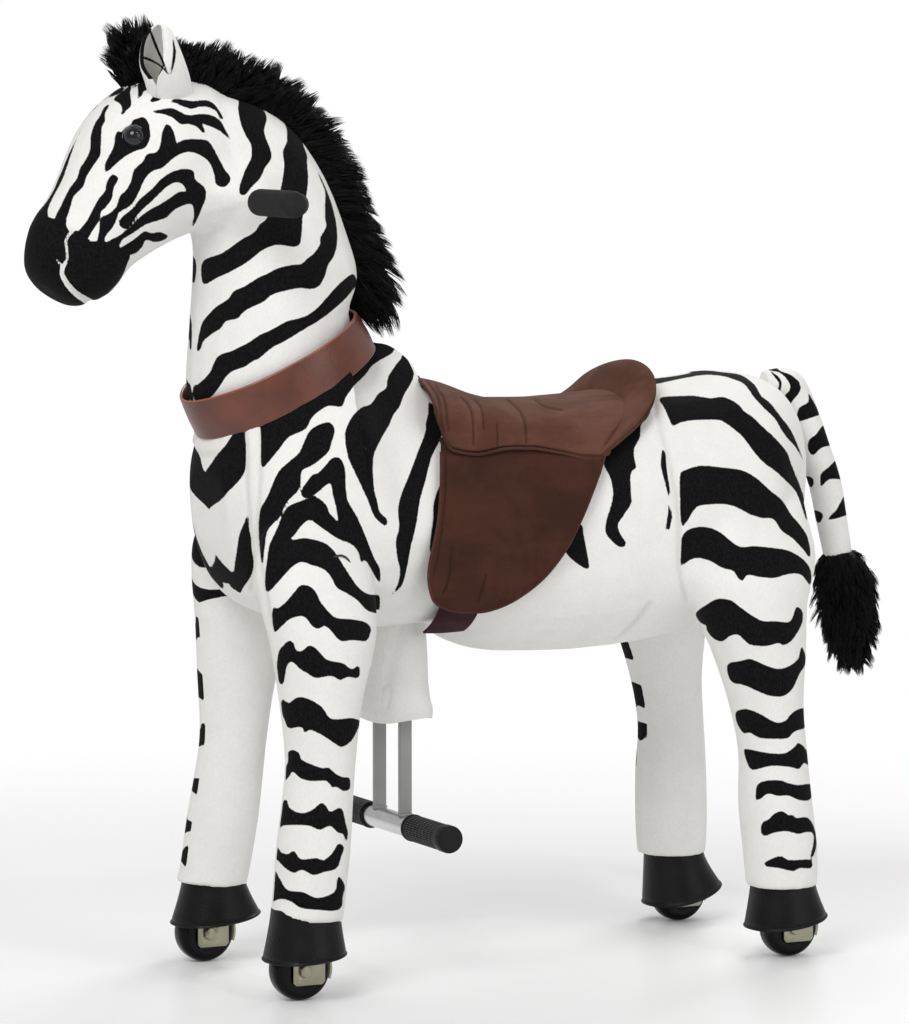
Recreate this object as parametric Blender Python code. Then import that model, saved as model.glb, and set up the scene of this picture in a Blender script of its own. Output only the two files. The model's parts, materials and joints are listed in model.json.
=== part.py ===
"""A child's mechanical ride-on zebra: a stuffed animal on a steel frame, with wheels that roll under its hooves.

Metres, +Z up. The animal faces -Y and its left side is +X. Heights start at the floor. Lengths along Y start at the
middle of the wheelbase, which lies MIDDLE_Y behind the middle of the whole toy.

The rider sits and the legs spread on one pivot under the saddle, then stands on the pedals and they close again.
The head and the handlebar turn on a leaning column, and the front forks turn with them.
"""

import math

import bmesh
import bpy
from mathutils import Matrix, Vector

for old in list(bpy.data.objects):
    bpy.data.objects.remove(old)

# Driving sizes of the whole
MIDDLE_Y = 0.03
WHEELBASE = 0.550
TRACK = 0.236
PIVOT_Z = 0.475
SWING = math.radians(6.0)
TOUCH = 0.0003  # between faces that rest on each other
SLACK = 0.0006  # between a pin and its bore
PLUSH_GAP = 0.0012  # between the stuffing and the frame inside it

# Wheels and forks
WHEEL_RADIUS = 0.030
WHEEL_WIDTH = 0.024
WHEEL_SIDE_RADIUS = 0.0185  # where the flat side ends and the round tread begins
TREAD_FLAT = 0.008  # the strip that touches the floor
WHEEL_SIDES = 28
AXLE_BOLT_RADIUS = 0.004
FORK_PLATE = 0.002
FORK_GAP = 0.0008  # between a fork plate and the wheel's side
FORK_REACH = 0.0142  # from the axle down to the plate's lower edge
FORK_FRONT = 0.0125
FORK_REAR = 0.0250
FORK_BRIDGE_Z = 0.0650  # underside of the bridge over the wheel
FORK_BRIDGE = 0.0035
KINGPIN_LENGTH = 0.030
PAWL_PIN = (0.0215, 0.0300)  # behind and above the axle
PAWL_PIN_RADIUS = 0.0018
PAWL_THICK = 0.0024
PAWL_WIDTH = 0.010

# Tubes and bars of the frame
TUBE_RADIUS = 0.0125
LEG_TUBE_RADIUS = 0.011
TUBE_WALL = 0.002
LEG_TUBE_WALL = 0.0035
SHOULDER_Y, SHOULDER_Z = -0.238, 0.425
HIP_Y, HIP_Z = 0.236, 0.425
AXLE_RADIUS = 0.008
AXLE_SLEEVE_RADIUS = 0.0116
HUB_RADIUS = 0.018
HUB_WIDTH = 0.019
ARM_THICK = 0.008
ARM_HEIGHT = 0.028
FRONT_ARM_X = 0.030
REAR_ARM_X = FRONT_ARM_X + HUB_WIDTH + TOUCH * 2
BRACKET_THICK = 0.004
BRACKET_LENGTH = 0.050
AXLE_HEAD = 0.008

# Pedals
PEDAL_Y, PEDAL_Z = -0.118, 0.154
PEDAL_TUBE_RADIUS = 0.011
PEDAL_GRIP_RADIUS = 0.0135
PEDAL_BARE_HALF = 0.050
PEDAL_GRIP_LENGTH = 0.085
PEDAL_CAP = 0.005
POST_LENGTH_Y = 0.011
POST_THICK = 0.006

# Collar and steering column
COLLAR_Y, COLLAR_Z = -0.2425, 0.608
COLLAR_LEAN = math.radians(26.5)
COLLAR_HEIGHT = 0.043
COLLAR_TOP = (0.106, 0.090)  # half length and half width
COLLAR_BOTTOM = (0.113, 0.097)
COLLAR_WALL = 0.004
COLUMN_RADIUS = 0.011
HEAD_TUBE_RADIUS = 0.0165
HEAD_TUBE_UP = (-0.150, -0.050)  # along the column, from the collar's middle
COLUMN_UP = (-0.148, 0.166)
HANDLE_UP, HANDLE_BACK = 0.180, 0.022
HANDLE_RADIUS = 0.011
GRIP_RADIUS = 0.0135
GRIP_INNER_X, GRIP_OUTER_X = 0.072, 0.190

# Saddle
SEAT_THICK = 0.020
SEAT_EDGE_THICK = 0.011
TREE_BASE_Z = 0.528
FLAP_THICK = 0.004
GIRTH_THICK = 0.003


def collar_point(back, up):
    """(y, z) of a point in the collar's own directions: back along its upper rim's plane, up along the column."""
    sin, cos = math.sin(COLLAR_LEAN), math.cos(COLLAR_LEAN)
    return COLLAR_Y + back * cos - up * sin, COLLAR_Z + back * sin + up * cos


# Places that several pieces share: (x, y, z), with x for the left side
HOME = {}


def empty(name, place, parent=None):
    """An empty on a joint's axis. Its children turn about its place."""
    obj = bpy.data.objects.new(name, None)
    bpy.context.scene.collection.objects.link(obj)
    obj.empty_display_size = 0.03
    HOME[name] = Vector(place)
    obj.parent = parent
    obj.location = HOME[name] - (HOME[parent.name] if parent else Vector((0.0, -MIDDLE_Y, 0.0)))
    return obj


def material(name, colour, roughness, metallic=0.0):
    made = bpy.data.materials.new(name)
    made.use_nodes = True
    shader = made.node_tree.nodes["Principled BSDF"]
    shader.inputs["Base Color"].default_value = (*colour, 1.0)
    shader.inputs["Roughness"].default_value = roughness
    shader.inputs["Metallic"].default_value = metallic
    made.diffuse_color = (*colour, 1.0)
    return made


WHITE_PLUSH = material("white_plush", (0.84, 0.82, 0.79), 0.95)
BLACK_FUR = material("black_fur", (0.02, 0.02, 0.02), 0.95)
BROWN_SUEDE = material("brown_suede", (0.13, 0.055, 0.035), 0.85)
MAROON_WEB = material("maroon_webbing", (0.10, 0.02, 0.03), 0.8)
BROWN_LEATHER = material("brown_leather", (0.20, 0.065, 0.035), 0.35)
BLACK_LEATHER = material("black_leather", (0.015, 0.015, 0.015), 0.45)
BLACK_TYRE = material("black_wheel", (0.01, 0.01, 0.01), 0.12)
ZINC_STEEL = material("zinc_steel", (0.55, 0.53, 0.47), 0.35, 1.0)
GREY_PAINT = material("grey_paint", (0.30, 0.30, 0.30), 0.5)
BRIGHT_STEEL = material("bright_steel", (0.75, 0.75, 0.76), 0.18, 1.0)
BLACK_RUBBER = material("black_rubber", (0.02, 0.02, 0.02), 0.75)
BLACK_GLASS = material("black_glass", (0.005, 0.004, 0.004), 0.05)
SPRING_STEEL = material("spring_steel", (0.35, 0.35, 0.36), 0.4, 1.0)
SADDLE_BOARD = material("saddle_board", (0.03, 0.03, 0.03), 0.6)


def new_object(name, bm, finish, parent, origin=None, hidden=False):
    """An object from a mesh in wheelbase coordinates, with its origin on its joint."""
    home = HOME[parent.name]
    origin = Vector(origin) if origin is not None else home
    bmesh.ops.recalc_face_normals(bm, faces=bm.faces)
    bmesh.ops.translate(bm, verts=bm.verts, vec=-origin)
    mesh = bpy.data.meshes.new(name)
    bm.to_mesh(mesh)
    bm.free()
    obj = bpy.data.objects.new(name, mesh)
    bpy.context.scene.collection.objects.link(obj)
    obj.parent = parent
    obj.location = origin - home
    if finish:
        mesh.materials.append(finish)
    if hidden:
        obj.hide_render = True
        obj.display_type = "WIRE"
    return obj


def boolean(obj, other, operation="DIFFERENCE"):
    change = obj.modifiers.new(other.name, "BOOLEAN")
    change.operation = operation
    change.object = other


def cut(obj, *cutters):
    for cutter in cutters:
        boolean(obj, cutter)


CUTTER_COUNT = [0]


def cutter(bm, parent):
    CUTTER_COUNT[0] += 1
    return new_object(f"cutter_{CUTTER_COUNT[0]:02d}", bm, None, parent, hidden=True)


def loft(bm, rings):
    """Faces between rings of equally many points, with both ends closed."""
    rows = [[bm.verts.new(point) for point in ring] for ring in rings]
    count = len(rows[0])
    for low, high in zip(rows, rows[1:]):
        for i in range(count):
            j = (i + 1) % count
            bm.faces.new((low[i], low[j], high[j], high[i]))
    bm.faces.new(rows[0][::-1])
    bm.faces.new(rows[-1])
    return bm


def frame_along(direction):
    """Two directions square to this one, the first level where it can be."""
    along = Vector(direction).normalized()
    across = Vector((1.0, 0.0, 0.0))
    if abs(along.x) > 0.9:
        across = Vector((0.0, 1.0, 0.0))
    other = along.cross(across).normalized()
    return other.cross(along).normalized(), other


def circle(centre, direction, radius, sides, turn=0.5):
    across, other = frame_along(direction)
    centre = Vector(centre)
    steps = [2.0 * math.pi * (i + turn) / sides for i in range(sides)]
    return [centre + radius * (math.cos(t) * across + math.sin(t) * other) for t in steps]


def rod(start, end, radius, sides=16, end_radius=None):
    """A round bar between two points."""
    direction = Vector(end) - Vector(start)
    last = radius if end_radius is None else end_radius
    rings = [circle(start, direction, radius, sides), circle(end, direction, last, sides)]
    return loft(bmesh.new(), rings)


def turned(centre, direction, profile, sides, bm=None, turn=0.5):
    """A revolve: profile is a closed loop of (distance along the axis, radius) points."""
    bm = bm or bmesh.new()
    along = Vector(direction).normalized()
    rings = [circle(Vector(centre) + along * d, along, r, sides, turn) for d, r in profile]
    rows = [[bm.verts.new(point) for point in ring] for ring in rings]
    for row, after in zip(rows, rows[1:] + rows[:1]):
        for i in range(sides):
            j = (i + 1) % sides
            bm.faces.new((row[i], row[j], after[j], after[i]))
    return bm


def pipe(start, end, radius, wall, sides=16):
    """A tube with both ends open."""
    length = (Vector(end) - Vector(start)).length
    profile = [(0.0, radius), (length, radius), (length, radius - wall), (0.0, radius - wall)]
    return turned(start, Vector(end) - Vector(start), profile, sides)


def box(low, high):
    x0, y0, z0 = low
    x1, y1, z1 = high
    rings = [[(x0, y0, z), (x1, y0, z), (x1, y1, z), (x0, y1, z)] for z in (z0, z1)]
    return loft(bmesh.new(), rings)


def plate(outline, x_low, x_high):
    """A plate square to X, from its (y, z) outline."""
    return loft(bmesh.new(), [[(x, y, z) for y, z in outline] for x in (x_low, x_high)])


def spread(stations, steps):
    """More stations between the given ones, on a smooth curve through them."""
    rows = [[*top, *bottom, *rest] for top, bottom, *rest in stations]
    rows = [rows[0], *rows, rows[-1]]
    smooth = []
    for before, start, end, after in zip(rows, rows[1:], rows[2:], rows[3:]):
        for i in range(steps):
            t = i / steps
            smooth.append([
                0.5 * (2 * b + (c - a) * t + (2 * a - 5 * b + 4 * c - d) * t**2 + (3 * b - a - 3 * c + d) * t**3)
                for a, b, c, d in zip(before, start, end, after)
            ])
    smooth.append(rows[-2])
    return [((row[0], row[1]), (row[2], row[3]), *row[4:]) for row in smooth]


def stuffed(stations, sides=18, fullness=2.0, grow=0.0, steps=2):
    """A stuffed form. A station is its upper and lower (y, z) points, its half width and its middle's x."""
    rings = []
    stations = spread(stations, steps) if steps > 1 else stations
    for top, bottom, half_width, *middle_x in stations:
        middle = Vector(((middle_x or [0.0])[0], (top[0] + bottom[0]) / 2.0, (top[1] + bottom[1]) / 2.0))
        half = Vector((0.0, top[0] - bottom[0], top[1] - bottom[1])) / 2.0
        half = half.normalized() * (half.length + grow)
        ring = []
        for i in range(sides):
            t = 2.0 * math.pi * (i + 0.5) / sides
            across = math.copysign(abs(math.cos(t)) ** (2.0 / fullness), math.cos(t))
            rise = math.copysign(abs(math.sin(t)) ** (2.0 / fullness), math.sin(t))
            ring.append(middle + Vector((across * (half_width + grow), 0.0, 0.0)) + rise * half)
        rings.append(ring)
    if grow:
        for ring, beside in ((rings[0], rings[1]), (rings[-1], rings[-2])):
            away = (sum(ring, Vector()) - sum(beside, Vector())).normalized() * grow
            ring[:] = [point + away for point in ring]
    return loft(bmesh.new(), rings)


# Joints
ROOT = empty("saddle_frame", (0.0, 0.0, 0.0))
FRONT = empty("front_frame", (0.0, 0.0, PIVOT_Z), ROOT)
REAR = empty("rear_frame", (0.0, 0.0, PIVOT_Z), ROOT)
HEAD = empty("head", (0.0, COLLAR_Y, COLLAR_Z), FRONT)

FRONT_AXLE_Y, REAR_AXLE_Y = -WHEELBASE / 2.0, WHEELBASE / 2.0
WHEEL_X = TRACK / 2.0
PLATE_X = WHEEL_WIDTH / 2.0 + FORK_GAP  # inner face of a fork plate, from the wheel's middle
LEG_RUN = (FRONT_AXLE_Y - SHOULDER_Y) / (SHOULDER_Z - WHEEL_RADIUS)  # the front leg tube's lean


def front_leg_point(z):
    """(y, z) on the front leg tube's axis, which runs from the shoulder tube to the wheel's axle."""
    return SHOULDER_Y + LEG_RUN * (SHOULDER_Z - z), z


REAR_LEG_RUN = (REAR_AXLE_Y - HIP_Y) / (HIP_Z - WHEEL_RADIUS)


def rear_leg_point(z):
    return HIP_Y + REAR_LEG_RUN * (HIP_Z - z), z


# Stuffed forms, as stations measured on the photograph: upper point, lower point, half width
TORSO_FRONT = [
    ((-0.334, 0.515), (-0.326, 0.440), 0.045),
    ((-0.318, 0.560), (-0.310, 0.396), 0.085),
    ((-0.285, 0.590), (-0.285, 0.374), 0.112),
    ((-0.240, 0.606), (-0.240, 0.360), 0.124),
    ((-0.180, 0.614), (-0.180, 0.350), 0.124),
    ((-0.125, 0.606), (-0.125, 0.343), 0.120),
    ((-0.085, 0.580), (-0.080, 0.334), 0.118),
    ((-0.040, 0.556), (-0.040, 0.322), 0.117),
    ((-0.000, 0.548), (-0.000, 0.318), 0.117),
]
TORSO_REAR = [
    ((0.000, 0.548), (0.000, 0.318), 0.117),
    ((0.060, 0.546), (0.060, 0.316), 0.117),
    ((0.120, 0.556), (0.120, 0.319), 0.119),
    ((0.170, 0.576), (0.165, 0.324), 0.123),
    ((0.210, 0.588), (0.205, 0.334), 0.128),
    ((0.255, 0.595), (0.245, 0.350), 0.132),
    ((0.300, 0.594), (0.285, 0.372), 0.124),
    ((0.334, 0.570), (0.322, 0.398), 0.100),
    ((0.356, 0.525), (0.348, 0.425), 0.064),
    ((0.364, 0.490), (0.360, 0.452), 0.030),
]
TORSO_FULLNESS = 2.5
NECK = [
    (collar_point(0.101, COLLAR_HEIGHT / 2 + TOUCH), collar_point(-0.101, COLLAR_HEIGHT / 2 + TOUCH), 0.085),
    ((-0.163, 0.705), (-0.338, 0.640), 0.079),
    ((-0.176, 0.745), (-0.331, 0.700), 0.073),
    ((-0.207, 0.795), (-0.326, 0.752), 0.066),
    ((-0.255, 0.842), (-0.330, 0.790), 0.056),
]
HEAD_FORM = [
    ((-0.292, 0.872), (-0.282, 0.806), 0.030),
    ((-0.328, 0.896), (-0.298, 0.768), 0.054),
    ((-0.382, 0.899), (-0.318, 0.752), 0.066),
    ((-0.420, 0.881), (-0.334, 0.748), 0.069),
    ((-0.452, 0.847), (-0.366, 0.736), 0.063),
    ((-0.478, 0.791), (-0.404, 0.714), 0.052),
    ((-0.501, 0.757), (-0.424, 0.690), 0.049),
    ((-0.507, 0.722), (-0.458, 0.677), 0.040),
    ((-0.500, 0.703), (-0.478, 0.684), 0.020),
]
MANE = [
    ((-0.425, 0.920), (-0.412, 0.886), 0.008),
    ((-0.400, 0.941), (-0.380, 0.890), 0.015),
    ((-0.367, 0.945), (-0.350, 0.890), 0.018),
    ((-0.330, 0.936), (-0.318, 0.880), 0.019),
    ((-0.290, 0.914), (-0.275, 0.850), 0.019),
    ((-0.246, 0.888), (-0.246, 0.830), 0.019),
    ((-0.206, 0.850), (-0.220, 0.790), 0.019),
    ((-0.175, 0.806), (-0.200, 0.760), 0.019),
    ((-0.150, 0.765), (-0.185, 0.735), 0.018),
    ((-0.132, 0.725), (-0.170, 0.710), 0.017),
    ((-0.118, 0.690), (-0.150, 0.688), 0.012),
]
# Legs: y from the leg tube's axis at that height, and the middle's x from the wheel's
FRONT_LEG = [
    ((-0.0620, 0.4680), (0.0120, 0.4680), 0.0120, -0.022),
    ((-0.0739, 0.4350), (0.0411, 0.4350), 0.0360, -0.018),
    ((-0.0695, 0.3980), (0.0507, 0.3960), 0.0460, -0.012),
    ((-0.0550, 0.3500), (0.0520, 0.3500), 0.0470, -0.005),
    ((-0.0417, 0.2940), (0.0413, 0.2940), 0.0400, -0.001),
    ((-0.0307, 0.2350), (0.0393, 0.2350), 0.0345, 0.000),
    ((-0.0305, 0.1950), (0.0400, 0.1950), 0.0345, 0.000),
    ((-0.0324, 0.1460), (0.0416, 0.1460), 0.0360, 0.000),
    ((-0.0321, 0.1000), (0.0404, 0.1000), 0.0355, 0.000),
    ((-0.0327, 0.0805), (0.0398, 0.0805), 0.0350, 0.000),
]
REAR_LEG = [
    ((-0.0308, 0.4780), (0.0694, 0.4800), 0.0120, -0.022),
    ((-0.0659, 0.4460), (0.0845, 0.4500), 0.0380, -0.018),
    ((-0.0783, 0.4020), (0.0743, 0.4080), 0.0500, -0.012),
    ((-0.0719, 0.3650), (0.0511, 0.3650), 0.0530, -0.007),
    ((-0.0546, 0.3180), (0.0444, 0.3180), 0.0470, -0.003),
    ((-0.0379, 0.2640), (0.0396, 0.2640), 0.0380, 0.000),
    ((-0.0320, 0.2120), (0.0390, 0.2120), 0.0350, 0.000),
    ((-0.0381, 0.1610), (0.0384, 0.1610), 0.0375, 0.000),
    ((-0.0402, 0.1090), (0.0368, 0.1090), 0.0380, 0.000),
    ((-0.0400, 0.0805), (0.0325, 0.0805), 0.0355, 0.000),
]
TAIL = [
    ((0.318, 0.604), (0.318, 0.584), 0.012),
    ((0.338, 0.6035), (0.330, 0.5735), 0.018),
    ((0.362, 0.588), (0.340, 0.558), 0.020),
    ((0.380, 0.556), (0.348, 0.534), 0.0195),
    ((0.394, 0.510), (0.358, 0.498), 0.019),
    ((0.405, 0.463), (0.370, 0.456), 0.0185),
    ((0.414, 0.425), (0.379, 0.420), 0.0175),
    ((0.419, 0.402), (0.384, 0.399), 0.0165),
]
TAIL_TUFT = [
    ((0.4177, 0.4016), (0.3855, 0.3988), 0.0155),
    ((0.434, 0.370), (0.386, 0.365), 0.022),
    ((0.446, 0.340), (0.394, 0.335), 0.025),
    ((0.447, 0.305), (0.405, 0.302), 0.020),
    ((0.440, 0.272), (0.424, 0.271), 0.007),
]


def sides(make):
    """Calls make(side word, sign) for the left and the right."""
    for word, sign in (("left", 1.0), ("right", -1.0)):
        make(word, sign)


def shifted(stations, sign):
    """The stations of a form on one side, with its middle's x on that side."""
    return [(top, bottom, width, sign * x) for top, bottom, width, x in stations]


def leg_form(stations, point_at, sign):
    """A leg's stations set round its tube."""
    return [
        ((front + point_at(z0)[0], z0), (rear + point_at(z1)[0], z1), width, sign * (WHEEL_X + x))
        for (front, z0), (rear, z1), width, x in stations
    ]


def lathe(centre, direction, steps, count=12):
    """A solid of (distance along the axis, radius, is it a hexagon) steps."""
    along = Vector(direction).normalized()
    across, other = frame_along(along)
    rings = []
    for distance, radius, hexagon in steps:
        ring = []
        for i in range(count):
            t = 2.0 * math.pi * i / count
            corner = (t + math.pi / 6.0) % (math.pi / 3.0) - math.pi / 6.0
            reach = radius / math.cos(corner) if hexagon else radius
            ring.append(Vector(centre) + along * distance + reach * (math.cos(t) * across + math.sin(t) * other))
        rings.append(ring)
    return loft(bmesh.new(), rings)


def arm_outline(hinge, end, radius, steps=6):
    """The (y, z) outline of a bar with round ends."""
    hinge, end = Vector(hinge), Vector(end)
    run = end - hinge
    lean = math.atan2(run.y, run.x)
    outline = []
    for centre, start in ((end, lean - math.pi / 2.0), (hinge, lean + math.pi / 2.0)):
        for i in range(steps + 1):
            t = start + math.pi * i / steps
            outline.append((centre.x + radius * math.cos(t), centre.y + radius * math.sin(t)))
    return outline


PIVOT = (0.0, PIVOT_Z)
FRONT_SLOPE = (PIVOT_Z - SHOULDER_Z) / -SHOULDER_Y
HUB_OUTER_X = REAR_ARM_X + HUB_WIDTH / 2.0
BRACKET_X = HUB_OUTER_X + TOUCH
AXLE_HEAD_X = BRACKET_X + BRACKET_THICK + TOUCH
SPRING_HALF_X = FRONT_ARM_X - HUB_WIDTH / 2.0 - 0.001
PIN_RADIUS = 0.004
PIN_Y = 0.050
TUBE_HALF = WHEEL_X + LEG_TUBE_RADIUS + 0.006


def arm_middle_z(y):
    """Height of the front arms' centre line."""
    return PIVOT_Z - FRONT_SLOPE * abs(y)


def swing_frame(name, parent, arm_x, end, pin_y):
    """Two arms with hubs on the main axle, a cross pin for the spring and a cross tube that carries the legs."""
    outline = arm_outline(PIVOT, end, ARM_HEIGHT / 2.0)
    low, high = arm_x - ARM_THICK / 2.0, arm_x + ARM_THICK / 2.0
    frame = new_object(name, plate(outline, low, high), GREY_PAINT, parent)
    boolean(frame, cutter(plate(outline, -high, -low), parent), "UNION")
    for sign in (1.0, -1.0):
        start, stop = sign * (arm_x - HUB_WIDTH / 2.0), sign * (arm_x + HUB_WIDTH / 2.0)
        boss = rod((start, *PIVOT), (stop, *PIVOT), HUB_RADIUS, 20)
        boolean(frame, cutter(boss, parent), "UNION")
    slope = (PIVOT_Z - end[1]) / abs(end[0])
    pin = (pin_y, PIVOT_Z - slope * abs(pin_y))
    boolean(frame, cutter(rod((-arm_x, *pin), (arm_x, *pin), PIN_RADIUS, 10), parent), "UNION")
    boolean(frame, cutter(rod((-TUBE_HALF, *end), (TUBE_HALF, *end), TUBE_RADIUS), parent), "UNION")
    cut(
        frame,
        cutter(rod((-0.2, *PIVOT), (0.2, *PIVOT), AXLE_RADIUS + SLACK, 20), parent),
        cutter(rod((-0.2, *end), (0.2, *end), TUBE_RADIUS - TUBE_WALL), parent),
    )
    return frame


SHOULDER, HIP = (SHOULDER_Y, SHOULDER_Z), (HIP_Y, HIP_Z)
swing_frame("front_spine", FRONT, FRONT_ARM_X, SHOULDER, -PIN_Y)
swing_frame("rear_spine", REAR, REAR_ARM_X, HIP, PIN_Y)


def main_axle():
    head = AXLE_HEAD_X + AXLE_HEAD
    sleeve = SPRING_HALF_X
    steps = [
        (-head, 0.0115, True), (-AXLE_HEAD_X, 0.0115, True), (-AXLE_HEAD_X, AXLE_RADIUS, False),
        (-sleeve, AXLE_RADIUS, False), (-sleeve, AXLE_SLEEVE_RADIUS, False),
        (sleeve, AXLE_SLEEVE_RADIUS, False), (sleeve, AXLE_RADIUS, False),
        (AXLE_HEAD_X, AXLE_RADIUS, False), (AXLE_HEAD_X, 0.0115, True), (head, 0.0115, True),
    ]
    new_object("main_axle", lathe((0.0, *PIVOT), (1.0, 0.0, 0.0), steps, 24), ZINC_STEEL, ROOT)


main_axle()


def saddle_bracket():
    """A channel that hangs the pivot under the saddle."""
    outer, half = BRACKET_X + BRACKET_THICK, BRACKET_LENGTH / 2.0
    top = TREE_BASE_Z - TOUCH
    shell = box((-outer, -half, PIVOT_Z - 0.020), (outer, half, top))
    bracket = new_object("saddle_bracket", shell, GREY_PAINT, ROOT)
    inside = box((-BRACKET_X, -half - 0.01, PIVOT_Z - 0.03), (BRACKET_X, half + 0.01, top - BRACKET_THICK))
    bore = rod((-0.2, *PIVOT), (0.2, *PIVOT), AXLE_RADIUS + SLACK, 20)
    cut(bracket, cutter(inside, ROOT), cutter(bore, ROOT))


saddle_bracket()

WIRE_RADIUS = 0.0025
COIL_RADIUS = AXLE_SLEEVE_RADIUS + 0.0004 + WIRE_RADIUS
COIL_TURNS = 5
COIL_STEPS = 12
COIL_HALF_X = SPRING_HALF_X - WIRE_RADIUS - 0.0012


def return_spring():
    """A torsion spring round the axle, whose two legs press the arms down and so hold the legs closed."""
    leg_y = PIN_Y + 0.003
    leg_z = arm_middle_z(PIN_Y) + PIN_RADIUS + TOUCH * 2.0 + WIRE_RADIUS - PIVOT_Z
    reach = math.hypot(leg_y, leg_z)
    touch = math.atan2(leg_z, leg_y) + math.acos(COIL_RADIUS / reach)
    start = touch - math.pi / 2.0
    sweep = 2.0 * math.pi * COIL_TURNS - 2.0 * start
    count = round(COIL_TURNS * COIL_STEPS)
    points = [(-COIL_HALF_X, -leg_y, leg_z)]
    for i in range(count + 1):
        t = start + sweep * i / count
        x = -COIL_HALF_X + 2.0 * COIL_HALF_X * i / count
        points.append((x, COIL_RADIUS * math.sin(t), COIL_RADIUS * math.cos(t)))
    points.append((COIL_HALF_X, leg_y, leg_z))
    pitch = 2.0 * COIL_HALF_X / COIL_TURNS
    print(f"return_spring: least gap between turns {1000.0 * (pitch - 2.0 * WIRE_RADIUS):.2f} mm")
    curve = bpy.data.curves.new("return_spring", "CURVE")
    curve.dimensions = "3D"
    line = curve.splines.new("POLY")
    line.points.add(len(points) - 1)
    for spot, point in zip(line.points, points):
        spot.co = (*point, 1.0)
    curve.bevel_depth = WIRE_RADIUS
    curve.bevel_resolution = 1
    curve.use_fill_caps = True
    curve.materials.append(SPRING_STEEL)
    spring = bpy.data.objects.new("return_spring", curve)
    bpy.context.scene.collection.objects.link(spring)
    spring.parent = ROOT
    spring.location = (0.0, 0.0, PIVOT_Z)


return_spring()

# The saddle
SEAT = [  # y, crown z, half width, z of the lower edge
    (-0.098, 0.5965, 0.088, 0.550),
    (-0.088, 0.5950, 0.098, 0.536),
    (-0.062, 0.5850, 0.104, 0.531),
    (-0.030, 0.5760, 0.107, 0.535),
    (0.000, 0.5700, 0.108, 0.535),
    (0.030, 0.5680, 0.108, 0.530),
    (0.060, 0.5695, 0.108, 0.523),
    (0.090, 0.5725, 0.107, 0.522),
    (0.112, 0.5760, 0.105, 0.524),
]
CANTLE = [
    (0.1123, 0.5830, 0.106, 0.524),
    (0.124, 0.5970, 0.104, 0.529),
    (0.140, 0.6070, 0.100, 0.538),
    (0.157, 0.6100, 0.093, 0.549),
    (0.172, 0.6040, 0.084, 0.560),
    (0.183, 0.5920, 0.074, 0.566),
]
CANTLE_THICK, CANTLE_EDGE_THICK = 0.030, 0.016
ARCH_POINTS = 11


def arc(y, crown, half_width, edge):
    """Points over half an ellipse from +X to -X."""
    steps = [math.pi * i / (ARCH_POINTS - 1) for i in range(ARCH_POINTS)]
    return [(half_width * math.cos(t), y, edge + (crown - edge) * math.sin(t)) for t in steps]


def split(bm):
    """Triangles, so that two surfaces that follow each other bend alike."""
    bmesh.ops.triangulate(bm, faces=bm.faces, quad_method="FIXED")
    return bm


def arched(stations, crown_thick, edge_thick):
    """A padded arch along Y."""
    rings = []
    for y, crown, half_width, edge in stations:
        inner = arc(y, crown - crown_thick, half_width - edge_thick, edge)
        rings.append(arc(y, crown, half_width, edge) + inner[::-1])
    return split(loft(bmesh.new(), rings))


def seat_edge(y):
    """Height of the seat's lower edge at this y."""
    for (y0, _, _, z0), (y1, _, _, z1) in zip(SEAT, SEAT[1:]):
        if y <= y1:
            return z0 + (z1 - z0) * max(0.0, (y - y0) / (y1 - y0))
    return SEAT[-1][3]


def saddle():
    new_object("saddle_seat", arched(SEAT, SEAT_THICK, SEAT_EDGE_THICK), BROWN_SUEDE, ROOT)
    new_object("saddle_cantle", arched(CANTLE, CANTLE_THICK, CANTLE_EDGE_THICK), BROWN_SUEDE, ROOT)
    rings = []
    for stations, crown_thick, edge_thick in (
        (SEAT[1:], SEAT_THICK, SEAT_EDGE_THICK), (CANTLE[:4], CANTLE_THICK, CANTLE_EDGE_THICK)
    ):
        for y, crown, half_width, edge in stations:
            over = arc(y, crown - crown_thick - TOUCH, half_width - edge_thick - TOUCH, edge)[1:-1]
            foot = over[0][0] - 0.001
            rings.append(over[::-1] + [(foot, y, TREE_BASE_Z), (-foot, y, TREE_BASE_Z)])
    new_object("saddle_tree", split(loft(bmesh.new(), rings)), SADDLE_BOARD, ROOT)


saddle()

FLAP_WIDEST_Z = 0.440
FLAP_INNER_X = 0.1240
FLAP_TOP_X = 0.1010
FLAP_FOOT_X = 0.1205
FLAP = [  # y, lower z, upper z; None where it reaches the seat's edge
    (-0.1355, 0.4040, 0.4200),
    (-0.1325, 0.3900, 0.4420),
    (-0.1290, 0.3845, 0.4655),
    (-0.1245, 0.3800, 0.4950),
    (-0.1200, 0.3780, 0.5225),
    (-0.1080, 0.3750, None),
    (-0.0880, 0.3735, None),
    (-0.0620, 0.3775, None),
    (-0.0350, 0.3865, None),
    (-0.0097, 0.4017, None),
    (0.0126, 0.4256, None),
    (0.0361, 0.4652, None),
    (0.0500, 0.4960, None),
    (0.0600, 0.5180, None),
]


def flap_x(z):
    """The flap's inner face, which follows the barrel."""
    if z > FLAP_WIDEST_Z:
        return FLAP_INNER_X - (FLAP_INNER_X - FLAP_TOP_X) * ((z - FLAP_WIDEST_Z) / 0.09) ** 2
    return FLAP_INNER_X - (FLAP_INNER_X - FLAP_FOOT_X) * ((FLAP_WIDEST_Z - z) / 0.066) ** 2


def saddle_flap(word, sign):
    rings = []
    for y, low, high in FLAP:
        high = high or seat_edge(y) - TOUCH
        heights = [low + (high - low) * i / 6.0 for i in range(7)]
        inner = [(sign * flap_x(z), y, z) for z in heights]
        outer = [(sign * (flap_x(z) + FLAP_THICK), y, z) for z in heights]
        rings.append(inner + outer[::-1])
    new_object(f"saddle_flap_{word}", loft(bmesh.new(), rings), BROWN_SUEDE, ROOT)


sides(saddle_flap)

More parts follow.
